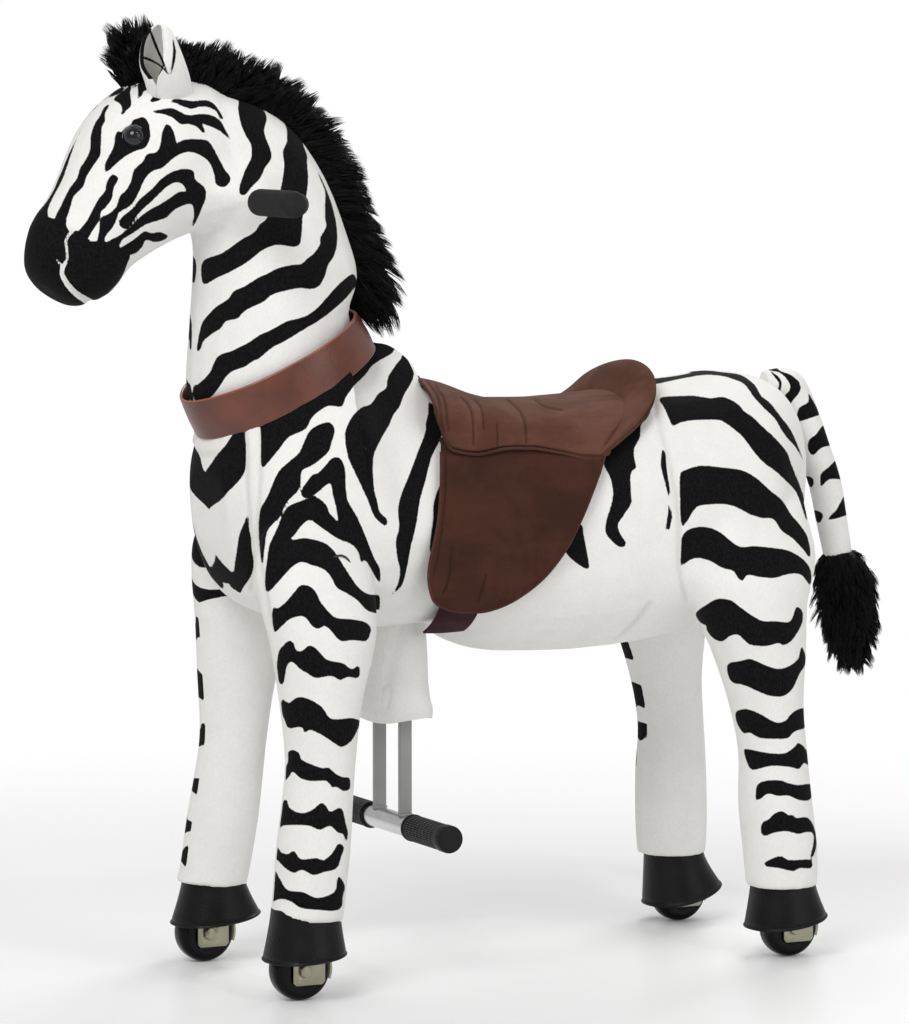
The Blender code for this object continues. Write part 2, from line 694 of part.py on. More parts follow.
GIRTH_TUCK = [0.425, 0.400, 0.378]  # heights behind the flap
GIRTH_PATH = [(flap_x(z) - TOUCH - GIRTH_THICK, z) for z in GIRTH_TUCK]
GIRTH_PATH += [(0.1060, 0.3645), (0.0925, 0.3545), (0.0790, 0.3460), (0.0655, 0.3395), (0.0530, 0.3350)]
GIRTH_Y = (-0.122, -0.068)


def girth_strap(word, sign):
    """The webbing that comes out from under the flap and turns in under the belly."""
    rings = []
    for (x0, z0), (x, z), (x1, z1) in zip(GIRTH_PATH[:1] + GIRTH_PATH, GIRTH_PATH, GIRTH_PATH[1:] + GIRTH_PATH[-1:]):
        outward = Vector((z0 - z1, 0.0, x1 - x0)).normalized() * GIRTH_THICK
        inner = Vector((x, 0.0, z))
        outer = inner + outward
        rings.append([
            (sign * inner.x, GIRTH_Y[0], inner.z), (sign * inner.x, GIRTH_Y[1], inner.z),
            (sign * outer.x, GIRTH_Y[1], outer.z), (sign * outer.x, GIRTH_Y[0], outer.z),
        ])
    new_object(f"girth_strap_{word}", loft(bmesh.new(), rings), MAROON_WEB, ROOT)


sides(girth_strap)


# The front frame
def leg_tube(name, parent, point_at, cross, sign):
    x = sign * WHEEL_X
    foot = (x, *point_at(FORK_BRIDGE_Z + FORK_BRIDGE + 0.0016))
    top = (x, *cross)
    tube = new_object(name, pipe(foot, top, LEG_TUBE_RADIUS, LEG_TUBE_WALL), GREY_PAINT, parent)
    cope = rod((x - 0.03, *cross), (x + 0.03, *cross), TUBE_RADIUS + TOUCH, 20)
    cut(tube, cutter(cope, parent))


sides(lambda word, sign: leg_tube(f"front_leg_tube_{word}", FRONT, front_leg_point, SHOULDER, sign))
sides(lambda word, sign: leg_tube(f"rear_leg_tube_{word}", REAR, rear_leg_point, HIP, sign))


def head_tube():
    """The steering bearing, on a block that is bolted between the front arms."""
    low, high = (collar_point(0.0, up) for up in HEAD_TUBE_UP)
    tube = new_object("head_tube", rod((0.0, *low), (0.0, *high), HEAD_TUBE_RADIUS, 20), GREY_PAINT, FRONT)
    half = FRONT_ARM_X - ARM_THICK / 2.0 - TOUCH
    block = box((-half, low[0] - 0.016, SHOULDER_Z), (half, low[0] + 0.016, low[1] + 0.024))
    bore = rod((0.0, *collar_point(0.0, HEAD_TUBE_UP[0])), (0.0, *collar_point(0.0, 0.0)), COLUMN_RADIUS + SLACK, 20)
    boolean(tube, cutter(block, FRONT), "UNION")
    cut(tube, cutter(bore, FRONT))


head_tube()


def pedal_frame():
    """A cross tube on two flat posts that hang from the front arms."""
    half = PEDAL_BARE_HALF + PEDAL_GRIP_LENGTH - PEDAL_CAP - TOUCH
    ends = [(sign * half, PEDAL_Y, PEDAL_Z) for sign in (-1.0, 1.0)]
    frame = new_object("pedal_frame", rod(*ends, PEDAL_TUBE_RADIUS, 20), BRIGHT_STEEL, FRONT)
    under = ARM_HEIGHT / 2.0 * math.hypot(1.0, FRONT_SLOPE) + TOUCH * 2.0
    front, rear = PEDAL_Y - POST_LENGTH_Y / 2.0, PEDAL_Y + POST_LENGTH_Y / 2.0
    outline = [
        (front, PEDAL_Z), (rear, PEDAL_Z), (rear, arm_middle_z(rear) - under), (front, arm_middle_z(front) - under)
    ]
    for sign in (1.0, -1.0):
        x = sign * FRONT_ARM_X
        post = plate(outline, x - POST_THICK / 2.0, x + POST_THICK / 2.0)
        boolean(frame, cutter(post, FRONT), "UNION")
    bore = rod((-0.2, PEDAL_Y, PEDAL_Z), (0.2, PEDAL_Y, PEDAL_Z), PEDAL_TUBE_RADIUS - TUBE_WALL)
    cut(frame, cutter(bore, FRONT))


pedal_frame()


def sleeve(name, parent, inner_x, outer_x, place, bore, radius, cap, nose, sign):
    """A grip: a tube closed at its outer end. The nose is (distance from the end, share of the radius)."""
    steps = [(inner_x, radius - 0.0006, False), (inner_x + 0.002, radius, False)]
    steps += [(outer_x - back, radius * share, False) for back, share in nose]
    grip = new_object(name, lathe((0.0, *place), (sign, 0.0, 0.0), steps, 20), BLACK_RUBBER, parent)
    hole = rod((sign * (inner_x - 0.01), *place), (sign * (outer_x - cap), *place), bore + TOUCH)
    cut(grip, cutter(hole, parent))


def pedal_grip(word, sign):
    inner = PEDAL_BARE_HALF
    sleeve(
        f"pedal_grip_{word}", FRONT, inner, inner + PEDAL_GRIP_LENGTH, (PEDAL_Y, PEDAL_Z),
        PEDAL_TUBE_RADIUS, PEDAL_GRIP_RADIUS, PEDAL_CAP, ((0.0008, 1.0), (0.0, 0.94)), sign,
    )


sides(pedal_grip)


# Wheel units. Each stands under a leg: fork, wheel, axle bolt and pawl
def wheel_profile():
    half, flat = WHEEL_WIDTH / 2.0, TREAD_FLAT / 2.0
    rim = WHEEL_RADIUS / math.cos(math.pi / WHEEL_SIDES)
    arc_steps = [math.pi / 2.0 * i / 3.0 for i in range(4)]
    tread = [
        (flat + (half - flat) * math.cos(t), WHEEL_SIDE_RADIUS + (rim - WHEEL_SIDE_RADIUS) * math.sin(t))
        for t in arc_steps
    ]
    bore = AXLE_BOLT_RADIUS + SLACK
    return [(half, bore)] + tread + [(-d, r) for d, r in tread[::-1]] + [(-half, bore)]


def fork_outline(y):
    """The side plate: a straight lower end and a wider top that holds the pawl's pin."""
    low, top = WHEEL_RADIUS - FORK_REACH, FORK_BRIDGE_Z + FORK_BRIDGE
    shape = [
        (-FORK_FRONT, low + 0.003), (-FORK_FRONT + 0.003, low), (FORK_REAR - 0.0065, low),
        (FORK_REAR - 0.0035, low + 0.003), (FORK_REAR - 0.0035, WHEEL_RADIUS + 0.010),
        (FORK_REAR, WHEEL_RADIUS + 0.018), (FORK_REAR, top), (-FORK_FRONT - 0.004, top),
        (-FORK_FRONT - 0.004, WHEEL_RADIUS + 0.018), (-FORK_FRONT, WHEEL_RADIUS + 0.010),
    ]
    return [(y + dy, z) for dy, z in shape]


def wheel_unit(place, word, sign, axle_y, point_at, fork_parent, turning):
    x = sign * WHEEL_X
    axle = (x, axle_y, WHEEL_RADIUS)
    outer = PLATE_X + FORK_PLATE
    top = FORK_BRIDGE_Z + FORK_BRIDGE
    fork = new_object(f"{place}_fork_{word}", plate(fork_outline(axle_y), x - outer, x + outer), ZINC_STEEL, fork_parent)
    inside = box((x - PLATE_X, axle_y - 0.05, -0.01), (x + PLATE_X, axle_y + 0.05, FORK_BRIDGE_Z))
    bolt_hole = rod((x - 0.03, *axle[1:]), (x + 0.03, *axle[1:]), AXLE_BOLT_RADIUS + SLACK, 16)
    cut(fork, cutter(inside, fork_parent), cutter(bolt_hole, fork_parent))
    kingpin_radius = LEG_TUBE_RADIUS - LEG_TUBE_WALL - SLACK
    kingpin = rod((x, *point_at(top - 0.002)), (x, *point_at(top + KINGPIN_LENGTH)), kingpin_radius, 16)
    pin_y, pin_z = axle_y + PAWL_PIN[0], WHEEL_RADIUS + PAWL_PIN[1]
    reach = PLATE_X + FORK_PLATE / 2.0
    pin = rod((x - reach, pin_y, pin_z), (x + reach, pin_y, pin_z), PAWL_PIN_RADIUS, 10)
    boolean(fork, cutter(kingpin, fork_parent), "UNION")
    boolean(fork, cutter(pin, fork_parent), "UNION")

    tyre = turned(axle, (1.0, 0.0, 0.0), wheel_profile(), WHEEL_SIDES)
    new_object(f"{place}_wheel_{word}", tyre, BLACK_TYRE, fork_parent, axle)

    head = outer + TOUCH
    steps = [
        (-head - 0.0034, 0.0056, True), (-head, 0.0056, True), (-head, AXLE_BOLT_RADIUS, False),
        (head, AXLE_BOLT_RADIUS, False), (head, 0.0056, True), (head + 0.0034, 0.0056, True),
    ]
    new_object(f"{place}_axle_bolt_{word}", lathe(axle, (1.0, 0.0, 0.0), steps), ZINC_STEEL, fork_parent, axle)

    inner = WHEEL_RADIUS / math.cos(math.pi / WHEEL_SIDES) + 0.0010
    angles = [math.radians(-20.0 + 74.0 * i / 8.0) for i in range(9)]
    strip = [(axle_y + inner * math.cos(t), WHEEL_RADIUS + inner * math.sin(t)) for t in angles]
    back = inner + PAWL_THICK
    strip += [(axle_y + back * math.cos(t), WHEEL_RADIUS + back * math.sin(t)) for t in angles[::-1]]
    strip_half, hub_half = PAWL_WIDTH / 2.0, PAWL_WIDTH / 2.0 + 0.003
    origin = (x, pin_y, pin_z)
    pawl = new_object(
        f"{place}_pawl_{word}", plate(strip, x - strip_half, x + strip_half), ZINC_STEEL, fork_parent, origin
    )
    hub = rod((x - hub_half, pin_y, pin_z), (x + hub_half, pin_y, pin_z), PAWL_PIN_RADIUS + SLACK + 0.0019, 14)
    hole = rod((x - 0.02, pin_y, pin_z), (x + 0.02, pin_y, pin_z), PAWL_PIN_RADIUS + SLACK, 12)
    boolean(pawl, cutter(hub, fork_parent), "UNION")
    cut(pawl, cutter(hole, fork_parent))


def front_wheel_unit(word, sign):
    kingpin = empty(f"steer_{word}", (sign * WHEEL_X, *front_leg_point(WHEEL_RADIUS)), FRONT)
    wheel_unit("front", word, sign, FRONT_AXLE_Y, front_leg_point, kingpin, True)


sides(front_wheel_unit)
sides(lambda word, sign: wheel_unit("rear", word, sign, REAR_AXLE_Y, rear_leg_point, REAR, False))

# Hooves
HOOF_TOP_Z, HOOF_HEM_Z = 0.0800, 0.0365
HOOF_WALL, HOOF_DECK = 0.003, 0.005
HOOF_WIDTH = (0.0365, 0.0450)
FRONT_HOOF = ((-0.0305, 0.0470), (-0.0400, 0.0560))  # top and hem: front and rear, from the axle
REAR_HOOF = ((-0.0470, 0.0300), (-0.0540, 0.0455))


def hoof(name, parent, ends, axle_y, point_at, sign):
    """A flared cover over the fork, open below."""
    x = sign * WHEEL_X
    (top_front, top_rear), (hem_front, hem_rear) = ends

    def stations(inset, top_z, drop):
        lean = drop / (HOOF_TOP_Z - HOOF_HEM_Z)
        shares = ((0.0, top_z), (0.45, None), (1.0 + lean, HOOF_HEM_Z - drop))
        rows = []
        for share, z in shares:
            flare = share**1.3
            z = HOOF_TOP_Z + (HOOF_HEM_Z - HOOF_TOP_Z) * share if z is None else z
            front = axle_y + top_front + (hem_front - top_front) * flare + inset
            rear = axle_y + top_rear + (hem_rear - top_rear) * flare - inset
            width = HOOF_WIDTH[0] + (HOOF_WIDTH[1] - HOOF_WIDTH[0]) * flare - inset
            rows.append(((front, z), (rear, z), width, x))
        return rows

    shell = stuffed(stations(0.0, HOOF_TOP_Z, 0.0), sides=20, steps=1)
    cover = new_object(name, shell, BLACK_LEATHER, parent)
    inside = stuffed(stations(HOOF_WALL, HOOF_TOP_Z - HOOF_DECK, 0.004), sides=20, steps=1)
    hole = rod((x, *point_at(0.06)), (x, *point_at(0.10)), LEG_TUBE_RADIUS + TOUCH, 16)
    cut(cover, cutter(inside, parent), cutter(hole, parent))


sides(lambda word, sign: hoof(f"front_hoof_{word}", FRONT, FRONT_HOOF, FRONT_AXLE_Y, front_leg_point, sign))
sides(lambda word, sign: hoof(f"rear_hoof_{word}", REAR, REAR_HOOF, REAR_AXLE_Y, rear_leg_point, sign))


# The collar
def collar_station(up, inset):
    share = (up + COLLAR_HEIGHT / 2.0) / COLLAR_HEIGHT
    half_length = COLLAR_BOTTOM[0] + (COLLAR_TOP[0] - COLLAR_BOTTOM[0]) * share - inset
    half_width = COLLAR_BOTTOM[1] + (COLLAR_TOP[1] - COLLAR_BOTTOM[1]) * share - inset
    return collar_point(half_length, up), collar_point(-half_length, up), half_width


COLLAR_SIDES = 28
HALF_COLLAR = COLLAR_HEIGHT / 2.0


def collar():
    band = stuffed([collar_station(-HALF_COLLAR, 0.0), collar_station(HALF_COLLAR, 0.0)], COLLAR_SIDES, steps=1)
    strap = new_object("collar", band, BROWN_LEATHER, FRONT)
    inside = [collar_station(up, COLLAR_WALL) for up in (-HALF_COLLAR - 0.01, HALF_COLLAR + 0.01)]
    cut(strap, cutter(stuffed(inside, COLLAR_SIDES, steps=1), FRONT))


collar()


# Stuffed body, front half
def bay(half_x, front, rear, parent):
    """Room for the arms and what is bolted to them."""
    return cutter(box((-half_x, front, 0.402), (half_x, rear, 0.506)), parent)


def pivot_room(y0, y1, parent):
    half = AXLE_HEAD_X + AXLE_HEAD + PLUSH_GAP
    return cutter(box((-half, y0, PIVOT_Z - 0.045), (half, y1, 0.70)), parent)


def saddle_room(reach, parent):
    """Room under the saddle for this half to rise as the legs spread."""
    rise = math.tan(SWING) * abs(reach)
    near = math.copysign(0.002, -reach)
    low = TREE_BASE_Z - 0.010
    outline = [(near, low), (reach, low - rise), (reach, 0.70), (near, 0.70)]
    return cutter(plate(outline, -0.2, 0.2), parent)


def hinge_room(toward, parent):
    """The two halves lean apart above the pivot, so that they can swing."""
    top = 0.70
    back = math.copysign((top - PIVOT_Z) * math.tan(SWING * 1.05), toward)
    near = math.copysign(0.002, -toward)
    outline = [(near, PIVOT_Z - 0.002), (near, top), (back, top), (0.0, PIVOT_Z)]
    return cutter(plate(outline, -0.2, 0.2), parent)


def flap_room(steps, parent, sign):
    """Room for this half to slide up behind the flap. A step is (y, how far out the cut lies there)."""
    heights = [0.33 + 0.03 * i for i in range(9)]
    rise, margin = 0.014, 0.0035
    faces = [(min(flap_x(max(z, 0.36)), flap_x(z + rise)) - margin, z) for z in heights]
    rings = [
        [(sign * (x + out), y, z) for x, z in faces] + [(sign * 0.25, y, heights[-1]), (sign * 0.25, y, heights[0])]
        for y, out in steps
    ]
    return cutter(loft(bmesh.new(), rings), parent)


def grown_rod(start, end, radius, parent, count=14):
    return cutter(rod(start, end, radius + PLUSH_GAP, count), parent)


def leg_bores(parent, point_at, cross):
    return [
        grown_rod((s * WHEEL_X, *point_at(0.07)), (s * WHEEL_X, *cross), LEG_TUBE_RADIUS, parent)
        for s in (1.0, -1.0)
    ]


def cross_bore(parent, cross):
    reach = TUBE_HALF + PLUSH_GAP
    return grown_rod((-reach, *cross), (reach, *cross), TUBE_RADIUS, parent)


SPLIT = 0.00015
FRONT_FLAP_ROOM = ((-0.200, 0.014), (-0.150, 0.0), (0.010, 0.0))
REAR_FLAP_ROOM = ((-0.010, 0.0), (0.072, 0.0), (0.125, 0.016))


def chest_plush():
    stations = TORSO_FRONT[:-1] + [((-SPLIT, 0.548), (-SPLIT, 0.318), 0.117)]
    chest = new_object("chest_plush", stuffed(stations, 20, TORSO_FULLNESS), WHITE_PLUSH, FRONT)
    seat_of_collar = [collar_station(up, -TOUCH) for up in (-HALF_COLLAR - TOUCH, HALF_COLLAR + 0.05)]
    cut(chest, cutter(stuffed(seat_of_collar, COLLAR_SIDES, steps=1), FRONT))
    neck_root = [(collar_point(0.090, -0.085), collar_point(-0.090, -0.085), 0.080)]
    neck_root += [collar_station(up, COLLAR_WALL + TOUCH) for up in (-HALF_COLLAR - TOUCH, HALF_COLLAR - TOUCH)]
    boolean(chest, cutter(stuffed(neck_root, COLLAR_SIDES, steps=1), FRONT), "UNION")
    post_x = FRONT_ARM_X + POST_THICK / 2.0 + PLUSH_GAP
    post_y = POST_LENGTH_Y / 2.0 + PLUSH_GAP
    cut(
        chest,
        bay(FRONT_ARM_X + ARM_THICK / 2.0 + PLUSH_GAP, SHOULDER_Y - 0.022, 0.01, FRONT),
        cross_bore(FRONT, SHOULDER),
        *leg_bores(FRONT, front_leg_point, SHOULDER),
        grown_rod((0.0, *collar_point(0.0, -0.165)), (0.0, *collar_point(0.0, 0.04)), HEAD_TUBE_RADIUS, FRONT),
        cutter(box((-post_x, PEDAL_Y - post_y, 0.30), (post_x, PEDAL_Y + post_y, 0.42)), FRONT),
        pivot_room(-PIN_Y - 0.008, 0.01, FRONT),
        saddle_room(-0.1145, FRONT),
        hinge_room(-1.0, FRONT),
        flap_room(FRONT_FLAP_ROOM, FRONT, 1.0),
        flap_room(FRONT_FLAP_ROOM, FRONT, -1.0),
    )


chest_plush()


def rump_plush():
    stations = [((SPLIT, 0.548), (SPLIT, 0.318), 0.117)] + TORSO_REAR[1:]
    rump = new_object("rump_plush", stuffed(stations, 20, TORSO_FULLNESS), WHITE_PLUSH, REAR)
    cut(
        rump,
        bay(REAR_ARM_X + ARM_THICK / 2.0 + PLUSH_GAP, -0.01, HIP_Y + 0.022, REAR),
        cross_bore(REAR, HIP),
        *leg_bores(REAR, rear_leg_point, HIP),
        pivot_room(-0.01, PIN_Y + 0.008, REAR),
        saddle_room(0.199, REAR),
        hinge_room(1.0, REAR),
        flap_room(REAR_FLAP_ROOM, REAR, 1.0),
        flap_room(REAR_FLAP_ROOM, REAR, -1.0),
    )


rump_plush()


def leg_plush(name, parent, form, torso, point_at, cross, sign):
    leg = new_object(name, stuffed(leg_form(form, point_at, sign), 16, steps=1), WHITE_PLUSH, parent)
    x = sign * WHEEL_X
    cut(
        leg,
        cutter(stuffed(torso, 20, TORSO_FULLNESS, grow=TOUCH * 2.0), parent),
        grown_rod((x, *point_at(0.06)), (x, *cross), LEG_TUBE_RADIUS, parent),
        cross_bore(parent, cross),
    )


sides(lambda word, sign: leg_plush(
    f"front_leg_plush_{word}", FRONT, FRONT_LEG, TORSO_FRONT, front_leg_point, SHOULDER, sign
))
sides(lambda word, sign: leg_plush(
    f"rear_leg_plush_{word}", REAR, REAR_LEG, TORSO_REAR, rear_leg_point, HIP, sign
))

SKIRT = [
    ((-0.150, 0.375), (-0.0900, 0.375), 0.044),
    ((-0.154, 0.320), (-0.0870, 0.320), 0.046),
    ((-0.154, 0.285), (-0.0880, 0.285), 0.046),
    ((-0.1515, 0.2555), (-0.0915, 0.2555), 0.044),
]


def belly_skirt():
    """The cloth sleeve that hangs round the pedal posts."""
    skirt = new_object("belly_skirt", stuffed(SKIRT, 20, 2.4, steps=1), WHITE_PLUSH, FRONT)
    wall = 0.004
    room = [
        ((top[0] + wall, top[1]), (low[0] - wall, low[1]), width - wall)
        for top, low, width in SKIRT[:-1]
    ]
    (front, hem), (rear, _), width = SKIRT[-1]
    room.append(((front + wall, hem - 0.01), (rear - wall, hem - 0.01), width - wall))
    top_front, top_rear, width = room[0]
    room[0] = ((top_front[0], 0.40), (top_rear[0], 0.40), width)
    cut(
        skirt,
        cutter(stuffed(room, 20, 2.4, steps=1), FRONT),
        cutter(stuffed(TORSO_FRONT, 20, TORSO_FULLNESS, grow=TOUCH * 2.0), FRONT),
    )


belly_skirt()


def tail():
    grown = stuffed(TORSO_REAR, 20, TORSO_FULLNESS, grow=TOUCH * 2.0)
    plush = new_object("tail_plush", stuffed(TAIL, 14, steps=1), WHITE_PLUSH, REAR)
    cut(plush, cutter(grown, REAR))
    new_object("tail_tuft", stuffed(TAIL_TUFT, 12), BLACK_FUR, REAR)


tail()


# The head and what turns with it
def steering_column():
    """A column that leans forward, with the handlebar clamped behind its top."""
    low, high = (collar_point(0.0, up) for up in COLUMN_UP)
    column = new_object("steering_column", rod((0.0, *low), (0.0, *high), COLUMN_RADIUS, 20), GREY_PAINT, HEAD)
    bar = collar_point(HANDLE_BACK, HANDLE_UP)
    half = GRIP_OUTER_X - 0.006
    boolean(column, cutter(clamp(0.0), HEAD), "UNION")
    boolean(column, cutter(rod((-half, *bar), (half, *bar), HANDLE_RADIUS, 20), HEAD), "UNION")


def clamp(grow):
    """The block that joins the bar to the column."""
    front, rear = -0.010 - grow, HANDLE_BACK + 0.013 + grow
    low, high = COLUMN_UP[1] - 0.016 - grow, HANDLE_UP + 0.013 + grow
    outline = [collar_point(front, low), collar_point(rear, low), collar_point(rear, high), collar_point(front, high)]
    return plate(outline, -0.014 - grow, 0.014 + grow)


steering_column()


def handle_grip(word, sign):
    sleeve(
        f"handle_grip_{word}", HEAD, GRIP_INNER_X, GRIP_OUTER_X, collar_point(HANDLE_BACK, HANDLE_UP),
        HANDLE_RADIUS, GRIP_RADIUS, 0.0055, ((0.008, 1.0), (0.0024, 0.86), (0.0, 0.60)), sign,
    )


sides(handle_grip)


def column_room():
    """Room for the column, its clamp and the bar."""
    bar = collar_point(HANDLE_BACK, HANDLE_UP)
    low, high = collar_point(0.0, 0.0), collar_point(0.0, COLUMN_UP[1] + PLUSH_GAP)
    room = grown_rod((0.0, *low), (0.0, *high), COLUMN_RADIUS, HEAD)
    boolean(room, cutter(clamp(PLUSH_GAP), HEAD), "UNION")
    boolean(room, grown_rod((-0.2, *bar), (0.2, *bar), HANDLE_RADIUS, HEAD), "UNION")
    return room


EYE = (0.0505, -0.4185, 0.8430)
EYE_RADIUS = 0.0115


def ball(centre, radius, u=14, v=8):
    bm = bmesh.new()
    bmesh.ops.create_uvsphere(bm, u_segments=u, v_segments=v, radius=radius)
    turn = Matrix.Rotation(math.pi / 2.0, 4, "Y")
    bmesh.ops.transform(bm, matrix=Matrix.Translation(centre) @ turn, verts=bm.verts)
    return bm


EAR = [
    ((-0.399, 0.882), (-0.356, 0.893), 0.0125, 0.044),
    ((-0.4085, 0.913), (-0.3640, 0.922), 0.0165, 0.049),
    ((-0.4045, 0.934), (-0.3740, 0.939), 0.0120, 0.053),
    ((-0.3985, 0.9470), (-0.3880, 0.949), 0.0040, 0.056),
]


def head():
    room = column_room()
    neck = new_object("neck_plush", stuffed(NECK, 20), WHITE_PLUSH, HEAD)
    cut(neck, room, cutter(stuffed(HEAD_FORM, 20, grow=TOUCH * 2.0), HEAD))
    skull = new_object("head_plush", stuffed(HEAD_FORM, 20), WHITE_PLUSH, HEAD)
    cut(skull, room)
    for sign in (1.0, -1.0):
        centre = (sign * EYE[0], *EYE[1:])
        cut(skull, cutter(ball(centre, EYE_RADIUS + TOUCH), HEAD))
    mane = new_object("mane", stuffed(MANE, 12, steps=1), BLACK_FUR, HEAD)
    cut(
        mane,
        cutter(stuffed(HEAD_FORM, 20, grow=TOUCH * 2.0), HEAD),
        cutter(stuffed(NECK, 20, grow=TOUCH * 2.0), HEAD),
    )


head()


def eye(word, sign):
    centre = (sign * EYE[0], *EYE[1:])
    new_object(f"eye_{word}", ball(centre, EYE_RADIUS), BLACK_GLASS, HEAD, centre)


sides(eye)


def ear(word, sign):
    form = new_object(f"ear_{word}", stuffed(shifted(EAR, sign), 12), WHITE_PLUSH, HEAD)
    cut(form, cutter(stuffed(HEAD_FORM, 20, grow=TOUCH * 2.0), HEAD))


sides(ear)
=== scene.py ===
"""The looks of a stuffed ride-on zebra: plush, saddle, leather, fur and wheels round its steel frame."""

import json
import math

import bmesh
import bpy
import numpy as np
from mathutils import Matrix, Vector


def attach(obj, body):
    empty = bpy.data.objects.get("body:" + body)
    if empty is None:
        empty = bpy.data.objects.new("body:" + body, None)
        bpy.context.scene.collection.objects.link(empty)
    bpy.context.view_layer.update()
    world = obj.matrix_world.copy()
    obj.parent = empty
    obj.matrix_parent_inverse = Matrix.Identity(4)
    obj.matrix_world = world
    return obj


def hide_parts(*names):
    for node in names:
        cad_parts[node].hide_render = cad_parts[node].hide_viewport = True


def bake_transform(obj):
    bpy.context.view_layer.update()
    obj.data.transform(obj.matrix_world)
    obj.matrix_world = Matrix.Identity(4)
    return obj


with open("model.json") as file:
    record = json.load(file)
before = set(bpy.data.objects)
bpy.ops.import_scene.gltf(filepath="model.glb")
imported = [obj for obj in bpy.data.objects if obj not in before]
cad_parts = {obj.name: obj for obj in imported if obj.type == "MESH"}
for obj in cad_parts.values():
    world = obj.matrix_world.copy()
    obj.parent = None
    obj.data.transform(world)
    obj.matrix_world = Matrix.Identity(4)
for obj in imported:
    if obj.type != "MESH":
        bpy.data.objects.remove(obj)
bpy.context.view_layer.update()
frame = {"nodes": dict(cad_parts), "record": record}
NODES = frame["nodes"]
HELD = frame["record"]["behaviour"]["bodies"]

# The picture's frame and the camera at its viewing angle
PICTURE_WIDTH, PICTURE_HEIGHT = 909, 1024
AZIMUTH, ELEVATION = math.radians(63.91), math.radians(5.255)
CAMERA_DISTANCE = 5.093
FOCAL_PIXELS = 5036.7
WHEELS_Y = 0.03  # the middle of the wheelbase, from the middle of the toy
PIXEL = CAMERA_DISTANCE / FOCAL_PIXELS
BACK = np.array([
    math.sin(AZIMUTH) * math.cos(ELEVATION), -math.cos(AZIMUTH) * math.cos(ELEVATION), math.sin(ELEVATION)
])
RIGHT = np.array([math.cos(AZIMUTH), math.sin(AZIMUTH), 0.0])
UP = np.cross(BACK, RIGHT)
CAMERA_PLACE = np.array([0.0, WHEELS_Y - 0.0479, 0.460]) + BACK * CAMERA_DISTANCE
SENSOR_MM = 36.0

# Places that several pieces share, in metres from the middle of the wheelbase
SIDES = (("left", 1.0), ("right", -1.0))
WHEEL_X, WHEEL_RADIUS = 0.118, 0.030
FRONT_AXLE_Y, REAR_AXLE_Y = -0.275, 0.275
SHOULDER_Y, HIP_Y, HIP_Z = -0.238, 0.236, 0.425
PEDAL_Y, PEDAL_Z, POST_X = -0.118, 0.149, 0.030
EYE = (0.0500, -0.4163, 0.8420)
EYE_OUT = Vector((0.93, -0.33, 0.12)).normalized()


def only(obj, *others):
    """Selects these objects alone, with the first one active."""
    bpy.ops.object.select_all(action="DESELECT")
    for each in (obj, *others):
        each.select_set(True)
    bpy.context.view_layer.objects.active = obj


def called(name):
    """Names the object that an operator has just added."""
    obj = bpy.context.object
    obj.name = obj.data.name = name
    return obj


def added(name, data):
    """A new object for a mesh, a curve, a lamp or a camera."""
    obj = bpy.data.objects.new(name, data)
    bpy.context.scene.collection.objects.link(obj)
    return obj


def disc(name, corners):
    """A flat round face to draw a piece out of, open for editing."""
    bpy.ops.object.select_all(action="DESELECT")
    bpy.ops.mesh.primitive_circle_add(vertices=corners, radius=1.0, fill_type="NGON")
    obj = called(name)
    bpy.ops.object.mode_set(mode="EDIT")
    return obj


def outwards():
    """Ends the edit of a piece with all its faces pointing outwards."""
    bpy.ops.mesh.select_all(action="SELECT")
    bpy.ops.mesh.normals_make_consistent(inside=False)
    bpy.ops.object.mode_set(mode="OBJECT")


def facing(axis):
    """The turn that points a new primitive along an axis."""
    return Vector((0.0, 0.0, 1.0)).rotation_difference(axis).to_euler()


def applied(obj, kind, **settings):
    """Finishes a piece with a modifier."""
    only(obj)
    change = obj.modifiers.new(kind.lower(), kind)
    for key, value in settings.items():
        setattr(change, key, value)
    bpy.ops.object.modifier_apply(modifier=change.name)


def refined(obj):
    """Rounds a padded piece with one subdivision."""
    applied(obj, "SUBSURF", levels=1, render_levels=1)


def settled(obj):
    """Puts a piece's place in its mesh."""
    only(obj)
    bpy.ops.object.transform_apply(location=True, rotation=True, scale=True)
    return obj


def smoothed(rows, steps, closed=False):
    """More rows of numbers between the given ones, on a smooth curve through them."""
    rows = np.asarray(rows, float)
    ends = (rows[-1:], rows[:2]) if closed else (rows[:1], rows[-1:])
    padded = np.vstack([ends[0], rows, ends[1]])
    t = np.arange(steps)[:, None] / steps
    found = [
        0.5 * (2 * b + (c - a) * t + (2 * a - 5 * b + 4 * c - d) * t**2 + (3 * b - a - 3 * c + d) * t**3)
        for a, b, c, d in zip(padded, padded[1:], padded[2:], padded[3:])
    ]
    return np.vstack(found if closed else found + [rows[-1:]])


def ease(low, high, value):
    """0 at low and 1 at high, with a soft start and end."""
    share = np.clip((value - low) / (high - low), 0.0, 1.0)
    return share * share * (3.0 - 2.0 * share)


def points_of(obj):
    points = np.empty(len(obj.data.vertices) * 3)
    obj.data.vertices.foreach_get("co", points)
    return points.reshape(-1, 3)


def normals_of(obj):
    normals = np.empty(len(obj.data.vertices) * 3)
    obj.data.vertex_normals.foreach_get("vector", normals)
    return normals.reshape(-1, 3)


def reshaped(obj, points):
    obj.data.vertices.foreach_set("co", np.ravel(points))
    obj.data.update()
    return obj


def layered(obj, name, values):
    """Stores a number for each point, that a material reads."""
    layer = obj.data.attributes.get(name) or obj.data.attributes.new(name, "FLOAT", "POINT")
    layer.data.foreach_set("value", np.asarray(values, np.float32))


# Where a point of the toy falls in the picture, and the marks that are placed there
NO_MARK, DEEPEST = -99.0, 8.0  # depths in a mark, in pixels


